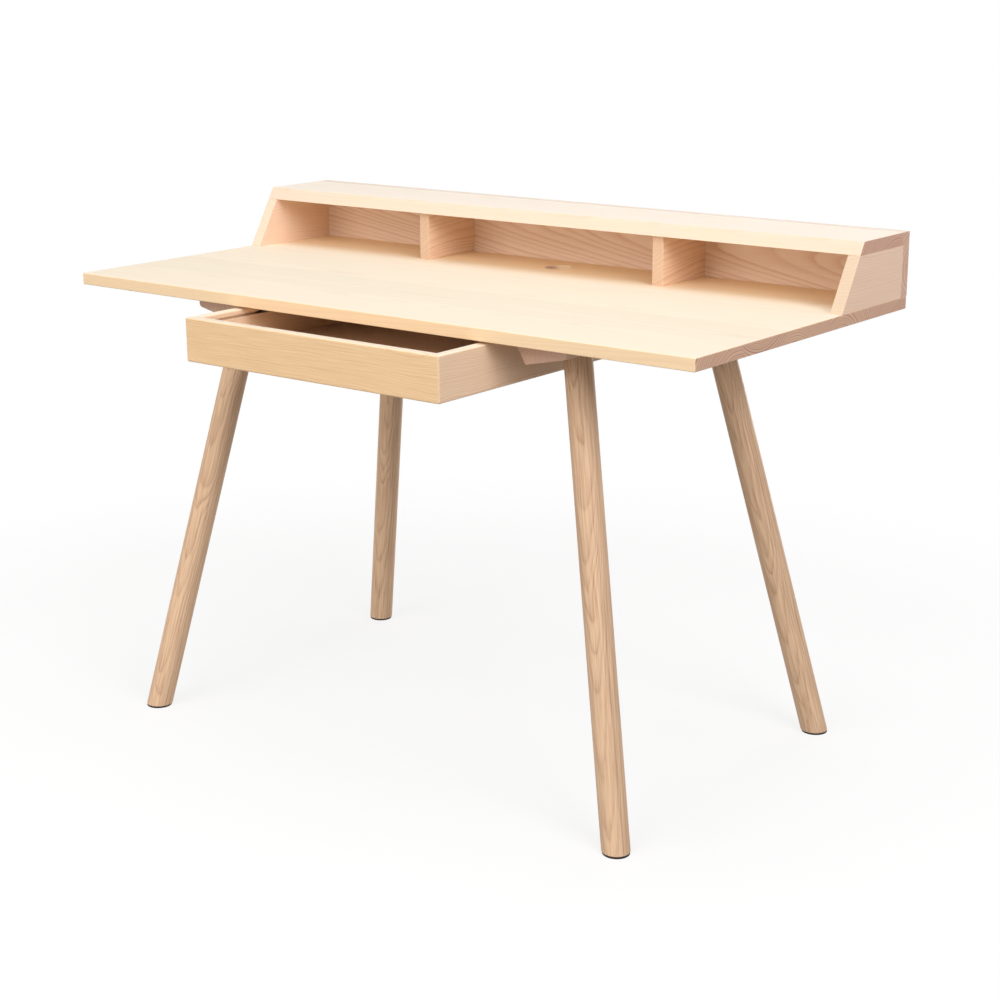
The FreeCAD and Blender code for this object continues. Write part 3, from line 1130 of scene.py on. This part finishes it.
# Steps from one plank or stave to the next: in the noise, the dice, the seasons and the years
PLANK_SHIFT = 3.7
STAVE_SHIFT = 9.0
PLANK_DICE = 7.31
PLANK_SEASONS = 1.7
STAVE_YEARS = 31.0

# Spring wood through the year, as pairs of time and share, and its share in the weakest year
SPRING_WOOD = ((0.0, 0.3), (0.07, 1.0), (0.26, 0.55), (0.5, 0.12), (0.9, 0.0), (1.0, 0.3))
LEAN_YEAR = 0.45

# Noise at which pores and streaks start and are full, and the share of pores in summer wood
PORE_NOISE = (0.08, 0.2)
STREAK_NOISE = (0.12, 0.3)
SUMMER_PORES = 0.2

# How squarely a face has to look along the fibres to be a sawn end, or upwards to be an upper face with
# the painted sheen
END_FACING = (0.4, 0.98)
UPPER_FACING = (0.6, 0.95)

# Share of the spring wood's colour that is everywhere, and what pores and clouds add at full strength
GROUND_SHARE = 0.15
PORE_SHARE = 0.35
CLOUD_SHARE = 0.5

# Share of a sawn end's colour that is everywhere, and what a ring adds
END_GROUND_SHARE = 0.5
END_RING_SHARE = 0.75

# Share of pale wood on an edge where hands rub, which is wear and also a painted highlight, and how much
# it varies
RUB_AND_HIGHLIGHT_SHARE = 0.35
RUB_UNEVEN = 0.8

# What rings, fibres and wear add to the roughness
BAND_ROUGHNESS = 0.08
FIBRE_ROUGHNESS = 0.12
WEAR_ROUGHNESS = -0.05

# Heights of rings, pores and fibres as shares of the wood's relief, and that relief in metres
BAND_HEIGHT = -0.3
PORE_HEIGHT = -0.7
FIBRE_HEIGHT = 0.4
WOOD_RELIEF = 0.0002

# The finishes of this desk

# The desktop's upper face gets a painted sheen, which fades into painted shade towards the back, under the
# hutch
TOP_ASH = Ash(
    "top_ash", pale=(0.93, 0.70, 0.445), deep=(0.83, 0.585, 0.355), strength=0.4,
    cut=(0.56, 0.40, 0.50), painted_sheen=(1.01, 1.205, 1.545), painted_shade_span=(0.11, 0.2),
    tint=0.02, roughness=0.58, gloss=0.08,
)
# The top board's upper face gets a painted sheen
LID_ASH = Ash(
    "lid_ash", pale=(0.84, 0.675, 0.53), deep=(0.76, 0.58, 0.42), strength=0.4,
    cut=(0.72, 0.44, 0.41), painted_sheen=(1.12, 1.275, 1.44),
    tint=0.02, roughness=0.58, gloss=0.02,
)
# The back panel's upper edge gets a painted sheen
PANEL_ASH = Ash(
    "panel_ash", pale=(0.99, 0.775, 0.61), deep=(0.77, 0.48, 0.33), strength=0.75,
    cut=(0.69, 0.53, 0.51), painted_sheen=(0.96, 1.12, 1.26), roughness=0.58, gloss=0.05,
)
CHEEK_ASH = Ash(
    "cheek_ash", pale=(0.95, 0.69, 0.515), deep=(0.75, 0.48, 0.33), strength=0.55,
    cut=(0.58, 0.715, 0.66), end_rings=0.2,
)
PALE_CHEEK_ASH = replace(CHEEK_ASH, name="pale_cheek_ash", cut=(0.70, 1.02, 1.05))
DIVIDER_ASH = Ash(
    "divider_ash", pale=(0.92, 0.655, 0.46), deep=(0.67, 0.395, 0.255), strength=0.65,
    cut=(0.60, 0.57, 0.52), end_rings=0.2,
)
# The drawer's upper edges get a painted sheen, which paints the highlight along them
DRAWER_ASH = Ash(
    "drawer_ash", pale=(0.93, 0.655, 0.385), deep=(0.72, 0.44, 0.225), strength=0.65,
    fibres=0.8, streaks=0.3, painted_sheen=(1.03, 1.27, 1.7),
)
# The drawer's sides are a cooler copy of the drawer's ash, which paints the cool light from the right;
# their upper edges get a painted sheen
COOL_LIT_SIDE_ASH = Ash(
    "side_ash", pale=(0.89, 0.655, 0.465), deep=(0.72, 0.47, 0.295), painted_sheen=(1.075, 1.3, 1.5),
)
FRAME_ASH = Ash(
    "frame_ash", pale=(0.88, 0.608, 0.392), deep=(0.51, 0.285, 0.174),
    fibres=1.5, streaks=0.45, tint=0.15,
)
RAIL_ASH = Ash(
    "rail_ash", pale=(0.86, 0.60, 0.40), deep=(0.54, 0.315, 0.205), strength=0.5,
    cut=(0.72, 0.66, 0.80), end_rings=0.5,
)
BOTTOM_ASH = Ash("bottom_ash", pale=(0.93, 0.75, 0.61), deep=(0.77, 0.57, 0.43), strength=0.5)

GLUED_UP = Figure(ring=0.0036, heart=0.0, pith=0.04, taper=0.03, wander=0.006, stave=0.12, variety=1.0)
FLAT_SAWN = Figure(ring=0.006, heart=0.012, pith=0.03, taper=-0.094, slant=0.03)
RIFT_SAWN = Figure(ring=0.006, heart=0.05, pith=0.04, taper=0.05, wander=0.03)
QUARTER_SAWN = Figure(ring=0.0035, heart=0.12, pith=0.03, taper=0.01, wander=0.036)
SIDE_SAWN = Figure(ring=0.0027, heart=-0.07, pith=0.03, taper=0.02, slant=-0.03, wander=0.05)
TURNED = Figure(ring=0.0026, heart=0.012, pith=0.045, taper=0.035, wander=0.03)

# Plank that each wooden piece is cut from: its number picks the pattern of growth rings
PLANKS = {
    "desktop": 1,
    "hutch_back_panel": 11,
    "hutch_top_board": 12,
    "hutch_cheek_left": 13,
    "hutch_cheek_right": 14,
    "hutch_divider_left": 15,
    "hutch_divider_right": 16,
    "leg_front_left": 22,
    "leg_front_right": 24,
    "leg_back_left": 29,
    "leg_back_right": 23,
    "leg_rail_left": 25,
    "leg_rail_right": 26,
    "drawer_front": 31,
    "drawer_side_left": 32,
    "drawer_side_right": 33,
    "drawer_back": 34,
    "drawer_bottom": 35,
    "drawer_stop": 41,
}


def dress(piece: bpy.types.Object, material: bpy.types.Material, body: Body, slot: Slot) -> None:
    """Gives a new piece its finish and its body, and puts it in the place of the node of its name.

    Args:
        piece: The piece, named after the node with _skin at the end.
        material: Its finish.
        body: The body it rides on.
        slot: The record's material slot; not used.
    """
    node = piece.name.removesuffix("_skin")
    piece.data.materials.append(material)
    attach(piece, body.value)
    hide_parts(node)
    log.info("%s stands for %s on %s", piece.name, node, body.value)


def refinish(node: str, material: bpy.types.Material) -> None:
    """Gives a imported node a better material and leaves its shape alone.

    Args:
        node: Name of the node.
        material: Its material.
    """
    for held in frame["nodes"][node].material_slots:
        held.material = material
    log.info("%s keeps its packed shape", node)


# Sub-assemblies


@dataclass
class WorkTop:
    """The desktop: one wide board with a cable hole.

    Attributes:
        ease: Radius of its edges.
        corner: Radius of its corners, seen from above.
        corner_room: How far the rays' points stay from a corner.
        hole_ease: Radius of the hole's edges.
        rays: Even rays from the hole that the surface is laid out on.
    """

    ease: float = 0.0015
    corner: float = 0.002
    corner_room: float = 0.006
    hole_ease: float = 0.0012
    rays: int = 120

    def outline(self, centre: np.ndarray) -> Outline:
        """Lays out the board's edge on rays from the hole's middle.

        A ray meets the side that is nearest along it. The rounded corners keep their own points, and
        all points are put in order of their angle.

        Args:
            centre: Middle of the hole.

        Returns:
            The board's outline.
        """
        low, high = (np.array(corner[:2]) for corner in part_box("desktop"))
        corners = [low, (high[0], low[1]), high, (low[0], high[1])]
        rounded = Outline.rounded(corners, self.corner)
        angle = np.linspace(-math.pi, math.pi, self.rays, endpoint=False)
        ray = np.stack([np.cos(angle), np.sin(angle)], axis=1)
        reach = np.where(ray > 0, high - centre, centre - low) / np.maximum(np.abs(ray), WELD)
        hit = np.argmin(reach, axis=1)
        points = centre + ray * reach.min(axis=1)[:, None]
        slides = np.sign(ray) * np.eye(2)[hit]
        room = np.minimum(points - low, high - points)[np.arange(self.rays), 1 - hit]
        clear = room > self.corner_room
        edge = Outline.joined(rounded, Outline(points[clear], slides[clear], 0 * slides[clear]))
        spread = edge.points - centre
        order = np.argsort(np.arctan2(spread[:, 1], spread[:, 0]))
        return Outline(edge.points[order], edge.slides[order], edge.notches[order])

    def build(self) -> bpy.types.Object:
        """Builds the board: up its outer edge, in over the top, down the hole and out underneath.

        Returns:
            The piece.
        """
        hole = next(mount for mount in frame["record"]["mounts"] if mount["name"] == "cable_hole")
        centre = np.array(hole["pos_m"][:2])
        hole_radius = hole["dims"]["r_mm"] / 1000
        low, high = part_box("desktop")
        edge = self.outline(centre)
        levels = Levels.eased(low.z, high.z, self.ease)
        rim = Levels.eased(low.z, high.z, self.hole_ease)
        spoke = edge.points - centre
        spoke /= np.linalg.norm(spoke, axis=1)[:, None]
        bore = Outline(centre + hole_radius * spoke, -spoke, 0 * spoke)
        grid = np.concatenate([carried(edge, levels), carried(bore, rim)[::-1]])
        return skinned("desktop_skin", grid, np.concatenate([levels.wear, rim.wear]), ring=True)

    def make(self) -> None:
        """Builds and dresses the board."""
        grain = Grain("desktop", AXIS_X, AXIS_Y, GLUED_UP)
        dress(self.build(), TOP_ASH.material(grain), Body.DESK, Slot.BOARD)


@dataclass
class Hutch:
    """The low hutch: back panel, top board, raked cheeks and upright dividers.

    Attributes:
        base_depth: How far the cheeks reach forward on the desktop.
        top_depth: How far the top board reaches forward.
        ease: Radius of the boards' edges.
        corner: Radius of the boards' corners, seen from the side.
        low: Height of the desktop's face, which the boards stand on.
        ceiling: Height of the top board's lower face.
        crown: Height of the top board's upper face.
        back: Depth of the back panel's outer face.
        inside: Depth of the back panel's inner face.
    """

    base_depth: float = 0.205
    top_depth: float = 0.145
    ease: float = 0.0005
    corner: float = 0.0006
    low: float = field(init=False)
    ceiling: float = field(init=False)
    crown: float = field(init=False)
    back: float = field(init=False)
    inside: float = field(init=False)

    def __post_init__(self) -> None:
        """Reads the levels and depths that the boards share from the frame."""
        panel_low, panel_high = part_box("hutch_back_panel")
        self.low, self.crown = panel_low.z, panel_high.z
        self.inside, self.back = panel_low.y, panel_high.y
        self.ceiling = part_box("hutch_top_board")[0].z

    def front_at(self, height: float) -> float:
        """The raked front's depth at a height, in a straight line from the cheek's foot to the crown."""
        share = (height - self.low) / (self.crown - self.low)
        return self.back - self.base_depth + share * (self.base_depth - self.top_depth)

    def board(
        self, node: str, bottom: float, top: float, fronts: tuple[float, float], rear: float
    ) -> bpy.types.Object:
        """Builds one board: a profile seen from the side, carried along X through the node's width.

        Args:
            node: Node that the board stands for.
            bottom: Height of its lower edge.
            top: Height of its upper edge.
            fronts: Depth of its front at the bottom and at the top.
            rear: Depth of its back.

        Returns:
            The piece.
        """
        start, stop = (corner.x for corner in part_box(node))
        corners = [(fronts[0], bottom), (rear, bottom), (rear, top), (fronts[1], top)]
        profile = Outline.rounded(corners, self.corner)
        levels = Levels.eased(start, stop, self.ease)
        return skinned(f"{node}_skin", carried(profile, levels, Axis.X), levels.wear)

    def stand(self, node: str, fronts: tuple[float, float], finish: Ash, figure: Figure) -> None:
        """Builds and dresses a board that stands between the desktop and the top board.

        Args:
            node: Node that the board stands for.
            fronts: Depth of its front at the bottom and at the top.
            finish: Its finish.
            figure: How it was sawn.
        """
        board = self.board(node, self.low, self.ceiling, fronts, self.inside)
        grain = Grain(node, AXIS_Y, AXIS_Z, figure)
        dress(board, finish.material(grain), Body.DESK, Slot.BOARD)

    def make(self) -> None:
        """Builds and dresses all the boards."""
        # Depths of the raked front: on the desktop, under the top board and at the top board's upper face
        foot, brow, crest = (self.front_at(height) for height in (self.low, self.ceiling, self.crown))
        panel = self.board("hutch_back_panel", self.low, self.crown, (self.inside, self.inside), self.back)
        grain = Grain("hutch_back_panel", AXIS_X, AXIS_Z, FLAT_SAWN)
        dress(panel, PANEL_ASH.material(grain), Body.DESK, Slot.BOARD)
        lid = self.board("hutch_top_board", self.ceiling, self.crown, (brow, crest), self.inside)
        grain = Grain("hutch_top_board", AXIS_X, AXIS_Y, GLUED_UP)
        dress(lid, LID_ASH.material(grain), Body.DESK, Slot.BOARD)
        for side, finish in zip(Side, (PALE_CHEEK_ASH, CHEEK_ASH)):
            self.stand(f"hutch_cheek_{side.word}", (foot, brow), finish, QUARTER_SAWN)
        for side in Side:
            self.stand(f"hutch_divider_{side.word}", (crest, crest), DIVIDER_ASH, RIFT_SAWN)


@dataclass
class LegFrame:
    """The four splayed round legs with their felt pads, and the rails that they stand against.

    Attributes:
        splay_across: How far a leg leans outwards over its height to the desktop.
        splay_along: How far a leg leans to the front or back over that height.
        leg_radius: Radius of a leg.
        pad_inset: How much smaller a pad's radius is.
        leg_ease: Radius of a leg's edges.
        pad_ease: Radius of a pad's edges.
        rail_side: Height of a rail's outer face.
    """

    splay_across: float = 0.156
    splay_along: float = 0.111
    leg_radius: float = 0.02125
    pad_inset: float = 0.001
    leg_ease: float = 0.0018
    pad_ease: float = 0.0008
    rail_side: float = 0.018

    def build(self, end: End, side: Side) -> tuple[bpy.types.Object, bpy.types.Object, Vector]:
        """Builds one leg, cut off along the sloping face of its rail, and its pad.

        Args:
            end: Front or back.
            side: Left or right.

        Returns:
            The leg, the pad and the unit vector up the leg.
        """
        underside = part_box("desktop")[0].z
        corner = f"{end.word}_{side.word}"
        pad_low, pad_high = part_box(f"foot_pad_{corner}")
        rail_outer = max(abs(edge.x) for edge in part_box(f"leg_rail_{side.word}"))
        up = np.array([-side.value * self.splay_across, -end.value * self.splay_along, underside])
        up /= np.linalg.norm(up)
        level = np.array([0.0, 0.0, 1.0])
        slope = self.splay_across / underside
        seat_height = underside - self.rail_side - slope * rail_outer
        seat = Plane(np.array([-side.value * slope, 0.0, 1.0]), seat_height)
        foot = np.array((pad_low + pad_high) / 2)
        cut = Plane(level, pad_high.z)
        leg = RoundBar(foot, up, self.leg_radius, cut, seat, self.leg_ease)
        pad_radius = self.leg_radius - self.pad_inset
        pad = RoundBar(foot, up, pad_radius, Plane(level, pad_low.z), cut, self.pad_ease)
        return (
            skinned(f"leg_{corner}_skin", *leg.grid()),
            skinned(f"foot_pad_{corner}_skin", *pad.grid(runs=1)),
            Vector(up),
        )

    def make(self) -> None:
        """Builds and dresses the legs and pads, and refinishes the rails."""
        felt = Felt().material()
        for end, side in product(End, Side):
            leg, pad, up = self.build(end, side)
            grain = Grain(f"leg_{end.word}_{side.word}", up, up.cross(AXIS_Y).normalized(), TURNED)
            dress(leg, FRAME_ASH.material(grain), Body.DESK, Slot.FRAME)
            dress(pad, felt, Body.DESK, Slot.FELT)
        for side in Side:
            grain = Grain(f"leg_rail_{side.word}", AXIS_Y, AXIS_X, QUARTER_SAWN)
            refinish(grain.node, RAIL_ASH.material(grain))


@dataclass
class DrawerBox:
    """The shallow drawer: front and sides mitred together, a low back and a thin bottom.

    Attributes:
        ease: Radius of the boards' edges.
        tip: Radius of the mitred corners, seen from above.
        back_ease: Radius of the back's edges.
        back_corner: Radius of the back's corners, seen from above.
        slot_depth: Depth of the slot that holds the bottom.
        slot_play: Play of the bottom in its slot.
        groove_depth: Depth of the groove that runs on the runner.
        groove_below: Room in the groove under the runner's hook.
        groove_above: Height of the groove over the runner's lowest point.
    """

    ease: float = 0.0025
    tip: float = 0.003
    back_ease: float = 0.0006
    back_corner: float = 0.00075
    slot_depth: float = 0.0067
    slot_play: float = 0.0002
    groove_depth: float = 0.008
    groove_below: float = 0.002
    groove_above: float = 0.0023

    def slot(self) -> tuple[float, float, float]:
        """Bottom, top and depth of the slot for the drawer's bottom."""
        low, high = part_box("drawer_bottom")
        return low.z, high.z + self.slot_play, self.slot_depth

    def groove(self) -> tuple[float, float, float]:
        """Bottom, top and depth of the groove for the runner."""
        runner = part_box("drawer_runner_right")[0].z
        return runner - self.groove_below, runner + self.groove_above, self.groove_depth

    def front(self) -> bpy.types.Object:
        """Builds the front: its plan with both mitres, carried up through its levels.

        Returns:
            The piece.
        """
        low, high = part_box("drawer_front")
        thick = high.y - low.y
        plan = Outline.joined(
            Outline.arc((low.x + self.tip, low.y + self.tip), self.tip, -135, -90),
            Outline.arc((high.x - self.tip, low.y + self.tip), self.tip, -90, -45),
            Outline.corner((high.x - thick, high.y), (-1.0, 1.0)),
            Outline.corner((low.x + thick, high.y), (1.0, 1.0)),
        )
        levels = Levels.eased(low.z, high.z, self.ease, [self.slot()])
        return skinned("drawer_front_skin", carried(plan, levels), levels.wear)

    def side(self, side: Side) -> bpy.types.Object:
        """Builds a side: the right side's plan, mirrored for the left, carried up through its levels.

        Args:
            side: Left or right.

        Returns:
            The piece.
        """
        low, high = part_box("drawer_side_right")
        thick = high.x - low.x
        rear = Outline.arc((low.x + self.tip, high.y - self.tip), self.tip, 90, 180)
        plan = Outline.joined(
            Outline.arc((high.x - self.tip, low.y + self.tip), self.tip, -45, 0),
            Outline.arc((high.x - self.tip, high.y - self.tip), self.tip, 0, 90),
            Outline(rear.points, rear.slides, np.broadcast_to([-1.0, 0.0], rear.points.shape)),
            Outline.corner((low.x, low.y + thick), (-1.0, 1.0)),
        )
        plan = plan if side is Side.RIGHT else plan.mirrored()
        levels = Levels.eased(low.z, high.z, self.ease, [self.slot(), self.groove()])
        return skinned(f"drawer_side_{side.word}_skin", carried(plan, levels), levels.wear)

    def back(self) -> bpy.types.Object:
        """Builds the back: its plan, notched on the face that holds the bottom, carried upwards.

        Returns:
            The piece.
        """
        low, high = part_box("drawer_back")
        corners = [(low.x, low.y), (high.x, low.y), (high.x, high.y), (low.x, high.y)]
        plan = Outline.rounded(corners, self.back_corner).notched((0, -1))
        levels = Levels.eased(low.z, high.z, self.back_ease, [self.slot()])
        return skinned("drawer_back_skin", carried(plan, levels), levels.wear)

    def make(self) -> None:
        """Builds and dresses the boards, and refinishes the bottom."""
        grain = Grain("drawer_front", AXIS_X, AXIS_Z, SIDE_SAWN)
        dress(self.front(), DRAWER_ASH.material(grain), Body.DRAWER, Slot.DRAWER)
        for side in Side:
            grain = Grain(f"drawer_side_{side.word}", AXIS_Y, AXIS_Z, QUARTER_SAWN)
            dress(self.side(side), COOL_LIT_SIDE_ASH.material(grain), Body.DRAWER, Slot.DRAWER)
        grain = Grain("drawer_back", AXIS_X, AXIS_Z, QUARTER_SAWN)
        dress(self.back(), DRAWER_ASH.material(grain), Body.DRAWER, Slot.DRAWER)
        grain = Grain("drawer_bottom", AXIS_X, AXIS_Y, GLUED_UP)
        refinish(grain.node, BOTTOM_ASH.material(grain))


@dataclass
class Fittings:
    """Runners, stop, fasteners, dowels and splines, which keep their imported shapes.

    Attributes:
        runners: Nodes of coated steel.
        fasteners: Nodes of plated steel.
        pegs: Nodes of beech.
    """

    runners: tuple[str, ...] = ("drawer_runner_left", "drawer_runner_right")
    fasteners: tuple[str, ...] = (
        "leg_bolts", "leg_inserts", "rail_screws", "runner_screws", "drawer_stop_screws"
    )
    pegs: tuple[str, ...] = ("hutch_dowels", "drawer_dowels", "drawer_splines")

    def make(self) -> None:
        """Refinishes every fitting."""
        grain = Grain("drawer_stop", AXIS_X, AXIS_Y, QUARTER_SAWN)
        refinish(grain.node, RAIL_ASH.material(grain))
        finishes = (CoatedSteel(), self.runners), (PlatedSteel(), self.fasteners), (Beech(), self.pegs)
        for finish, nodes in finishes:
            material = finish.material()
            for node in nodes:
                refinish(node, material)


# Studio

WARM_WHITE = (1.0, 0.98, 0.96)
COOL_WHITE = (0.98, 0.975, 1.0)


@dataclass(frozen=True)
class SoftBox:
    """A square lamp with a soft front.

    Attributes:
        name: Name of the lamp.
        place: Where it hangs.
        aim: What it points at.
        size: Length of its side.
        level: How bright it makes a white card that faces it at the aim.
        colour: Colour of its light.
    """

    name: str
    place: Vector
    aim: Vector
    size: float
    level: float
    colour: Colour

    def make(self) -> None:
        """Hangs the lamp, with its power worked out from the wanted level and the distance."""
        lamp = bpy.data.lights.new(self.name, "AREA")
        lamp.size = self.size
        lamp.color = self.colour
        lamp.energy = self.level * (math.pi * (self.place - self.aim).length) ** 2
        hung = linked(self.name, lamp)
        hung.location = self.place
        hung.rotation_euler = (self.aim - self.place).to_track_quat("-Z", "Y").to_euler()


@dataclass
class Studio:
    """A pale floor, soft lamps, a white surround and the photograph's camera.

    Attributes:
        camera_place: Where the camera stands.
        azimuth: How far it has gone round from the front to the right, in degrees.
        elevation: How far it looks down, in degrees.
        roll: How far it is turned clockwise, in degrees.
        lens: Focal length in millimetres on the sensor's width.
        sensor: Width of the sensor in millimetres.
        lamp_aim: What the lamps point at.
        floor_reach: Half the floor's width.
        floor_lines: Lines of the floor's grid each way.
        floor_grey: Colour of the floor where it throws light back.
        floor_white: Colour of the floor where it is seen.
        floor_glow: How much of the floor's white near the desk is its own, and not lamp light.
        shadow_reach: How far from the middle the floor starts to fade to plain white.
        room_light: How bright the surround is to the object.
    """

    camera_place: Vector = Vector((1.9250, -2.36622, 1.2406))
    azimuth: float = 37.97
    elevation: float = 15.55
    roll: float = 0.235
    lens: float = 70.09
    sensor: float = 36.0
    lamp_aim: Vector = Vector((0.0, 0.0, 0.65))
    floor_reach: float = 30.0
    floor_lines: int = 9
    floor_grey: Colour = (0.26, 0.26, 0.26)
    floor_white: Colour = (0.96, 0.96, 0.96)
    floor_glow: float = 0.8
    shadow_reach: float = 0.9
    room_light: float = 0.30

    def camera(self) -> None:
        """Stands the camera where the photograph was taken, with its small roll."""
        round_it, down = math.radians(self.azimuth), math.radians(self.elevation)
        ahead = Vector((
            -math.sin(round_it) * math.cos(down),
            math.cos(round_it) * math.cos(down),
            -math.sin(down),
        ))
        level_right = ahead.cross(AXIS_Z).normalized()
        level_up = level_right.cross(ahead)
        turn = math.radians(self.roll)
        right = math.cos(turn) * level_right - math.sin(turn) * level_up
        up = math.sin(turn) * level_right + math.cos(turn) * level_up
        data = bpy.data.cameras.new("photo_camera")
        data.lens = self.lens
        data.sensor_width = self.sensor
        camera = linked("photo_camera", data)
        turned = Matrix((right, up, -ahead)).transposed().to_4x4()
        camera.matrix_world = Matrix.Translation(self.camera_place) @ turned
        bpy.context.scene.camera = camera

    def white_to_camera(self, tree: bpy.types.NodeTree) -> bpy.types.NodeSocket:
        """Gives 1 to rays that come from the camera, a reflection or glass, and 0 to all others.

        Args:
            tree: Nodes of the world or of a material.

        Returns:
            The switch between both.
        """
        rays = tree.nodes.new("ShaderNodeLightPath")
        total = rays.outputs["Is Camera Ray"]
        for name in ("Is Glossy Ray", "Is Transmission Ray"):
            add = tree.nodes.new("ShaderNodeMath")
            add.operation = "MAXIMUM"
            tree.links.new(total, add.inputs[0])
            tree.links.new(rays.outputs[name], add.inputs[1])
            total = add.outputs[0]
        return total

    def surround(self) -> None:
        """Makes the world: white where it is seen, dimmer where it lights the object."""
        world = bpy.data.worlds.new("white_surround")
        world.use_nodes = True
        tree = world.node_tree
        back = tree.nodes["Background"]
        level = tree.nodes.new("ShaderNodeMapRange")
        level.inputs["To Min"].default_value = self.room_light
        level.inputs["To Max"].default_value = 1.0
        tree.links.new(self.white_to_camera(tree), level.inputs["Value"])
        tree.links.new(level.outputs[0], back.inputs["Strength"])
        back.inputs["Color"].default_value = (1.0, 1.0, 1.0, 1.0)
        bpy.context.scene.world = world

    def floor(self) -> None:
        """Lays the floor: a level grid, white where it is seen and grey where it throws light back."""
        steps = np.linspace(-self.floor_reach, self.floor_reach, self.floor_lines)
        across, along = np.meshgrid(steps, steps)
        points = np.stack([across, along, 0 * across], axis=2).reshape(-1, 3)
        index = np.arange(points.shape[0]).reshape(across.shape)
        corners = [index[:-1, :-1], index[:-1, 1:], index[1:, 1:], index[1:, :-1]]
        faces = np.stack(corners, axis=2).reshape(-1, 4)
        mesh = bpy.data.meshes.new("studio_floor")
        mesh.from_pydata(points.tolist(), [], faces.tolist())
        bench = Bench("pale_floor")
        seen = self.white_to_camera(bench.tree)
        paint = bench.add("ShaderNodeBsdfDiffuse")
        bench.feed(paint.inputs["Color"], bench.mixed(seen, self.floor_grey, self.floor_white))
        glow = bench.add("ShaderNodeEmission")
        away = bench.measure("LENGTH", bench.place())
        fade = bench.between(away, self.shadow_reach, 2 * self.shadow_reach)
        share = bench.add("ShaderNodeMixShader")
        white = bench.scaled(fade, 1 - self.floor_glow, self.floor_glow)
        bench.feed(share.inputs[0], bench.math("MULTIPLY", seen, white))
        bench.feed(share.inputs[1], paint.outputs[0])
        bench.feed(share.inputs[2], glow.outputs[0])
        mesh.materials.append(bench.ended(share.outputs[0]))
        sheet = linked("studio_floor", mesh)

    def lamps(self) -> None:
        """Hangs lamps over the desk, to the right, which is the brightest, in front, left and behind."""
        aim = self.lamp_aim
        boxes = (
            SoftBox("overhead_box", Vector((0.1, 0.0, 4.2)), aim, size=2.0, level=0.31, colour=WARM_WHITE),
            SoftBox("right_box", Vector((6.0, -2.4, 4.1)), aim, size=3.7, level=0.57, colour=COOL_WHITE),
            SoftBox("front_box", Vector((0.5, -4.0, 3.75)), aim, size=2.6, level=0.32, colour=WARM_WHITE),
            SoftBox("left_box", Vector((-1.5, -4.6, 1.6)), aim, size=3.2, level=0.30, colour=WARM_WHITE),
            SoftBox("back_box", Vector((0.2, 4.2, 0.8)), aim, size=2.0, level=0.30, colour=WARM_WHITE),
        )
        for box in boxes:
            box.make()

    def make(self) -> None:
        """Sets the stage up."""
        self.floor()
        self.surround()
        self.lamps()
        self.camera()
        bpy.context.scene.view_settings.view_transform = "Standard"
        log.info("studio is set up")


def main() -> None:
    """Builds the sub-assemblies in order, then the studio."""
    logging.basicConfig(level=logging.INFO, format="%(name)s: %(message)s")
    for assembly in (WorkTop(), Hutch(), LegFrame(), DrawerBox(), Fittings(), Studio()):
        assembly.make()


if __name__ == "__main__":
    main()
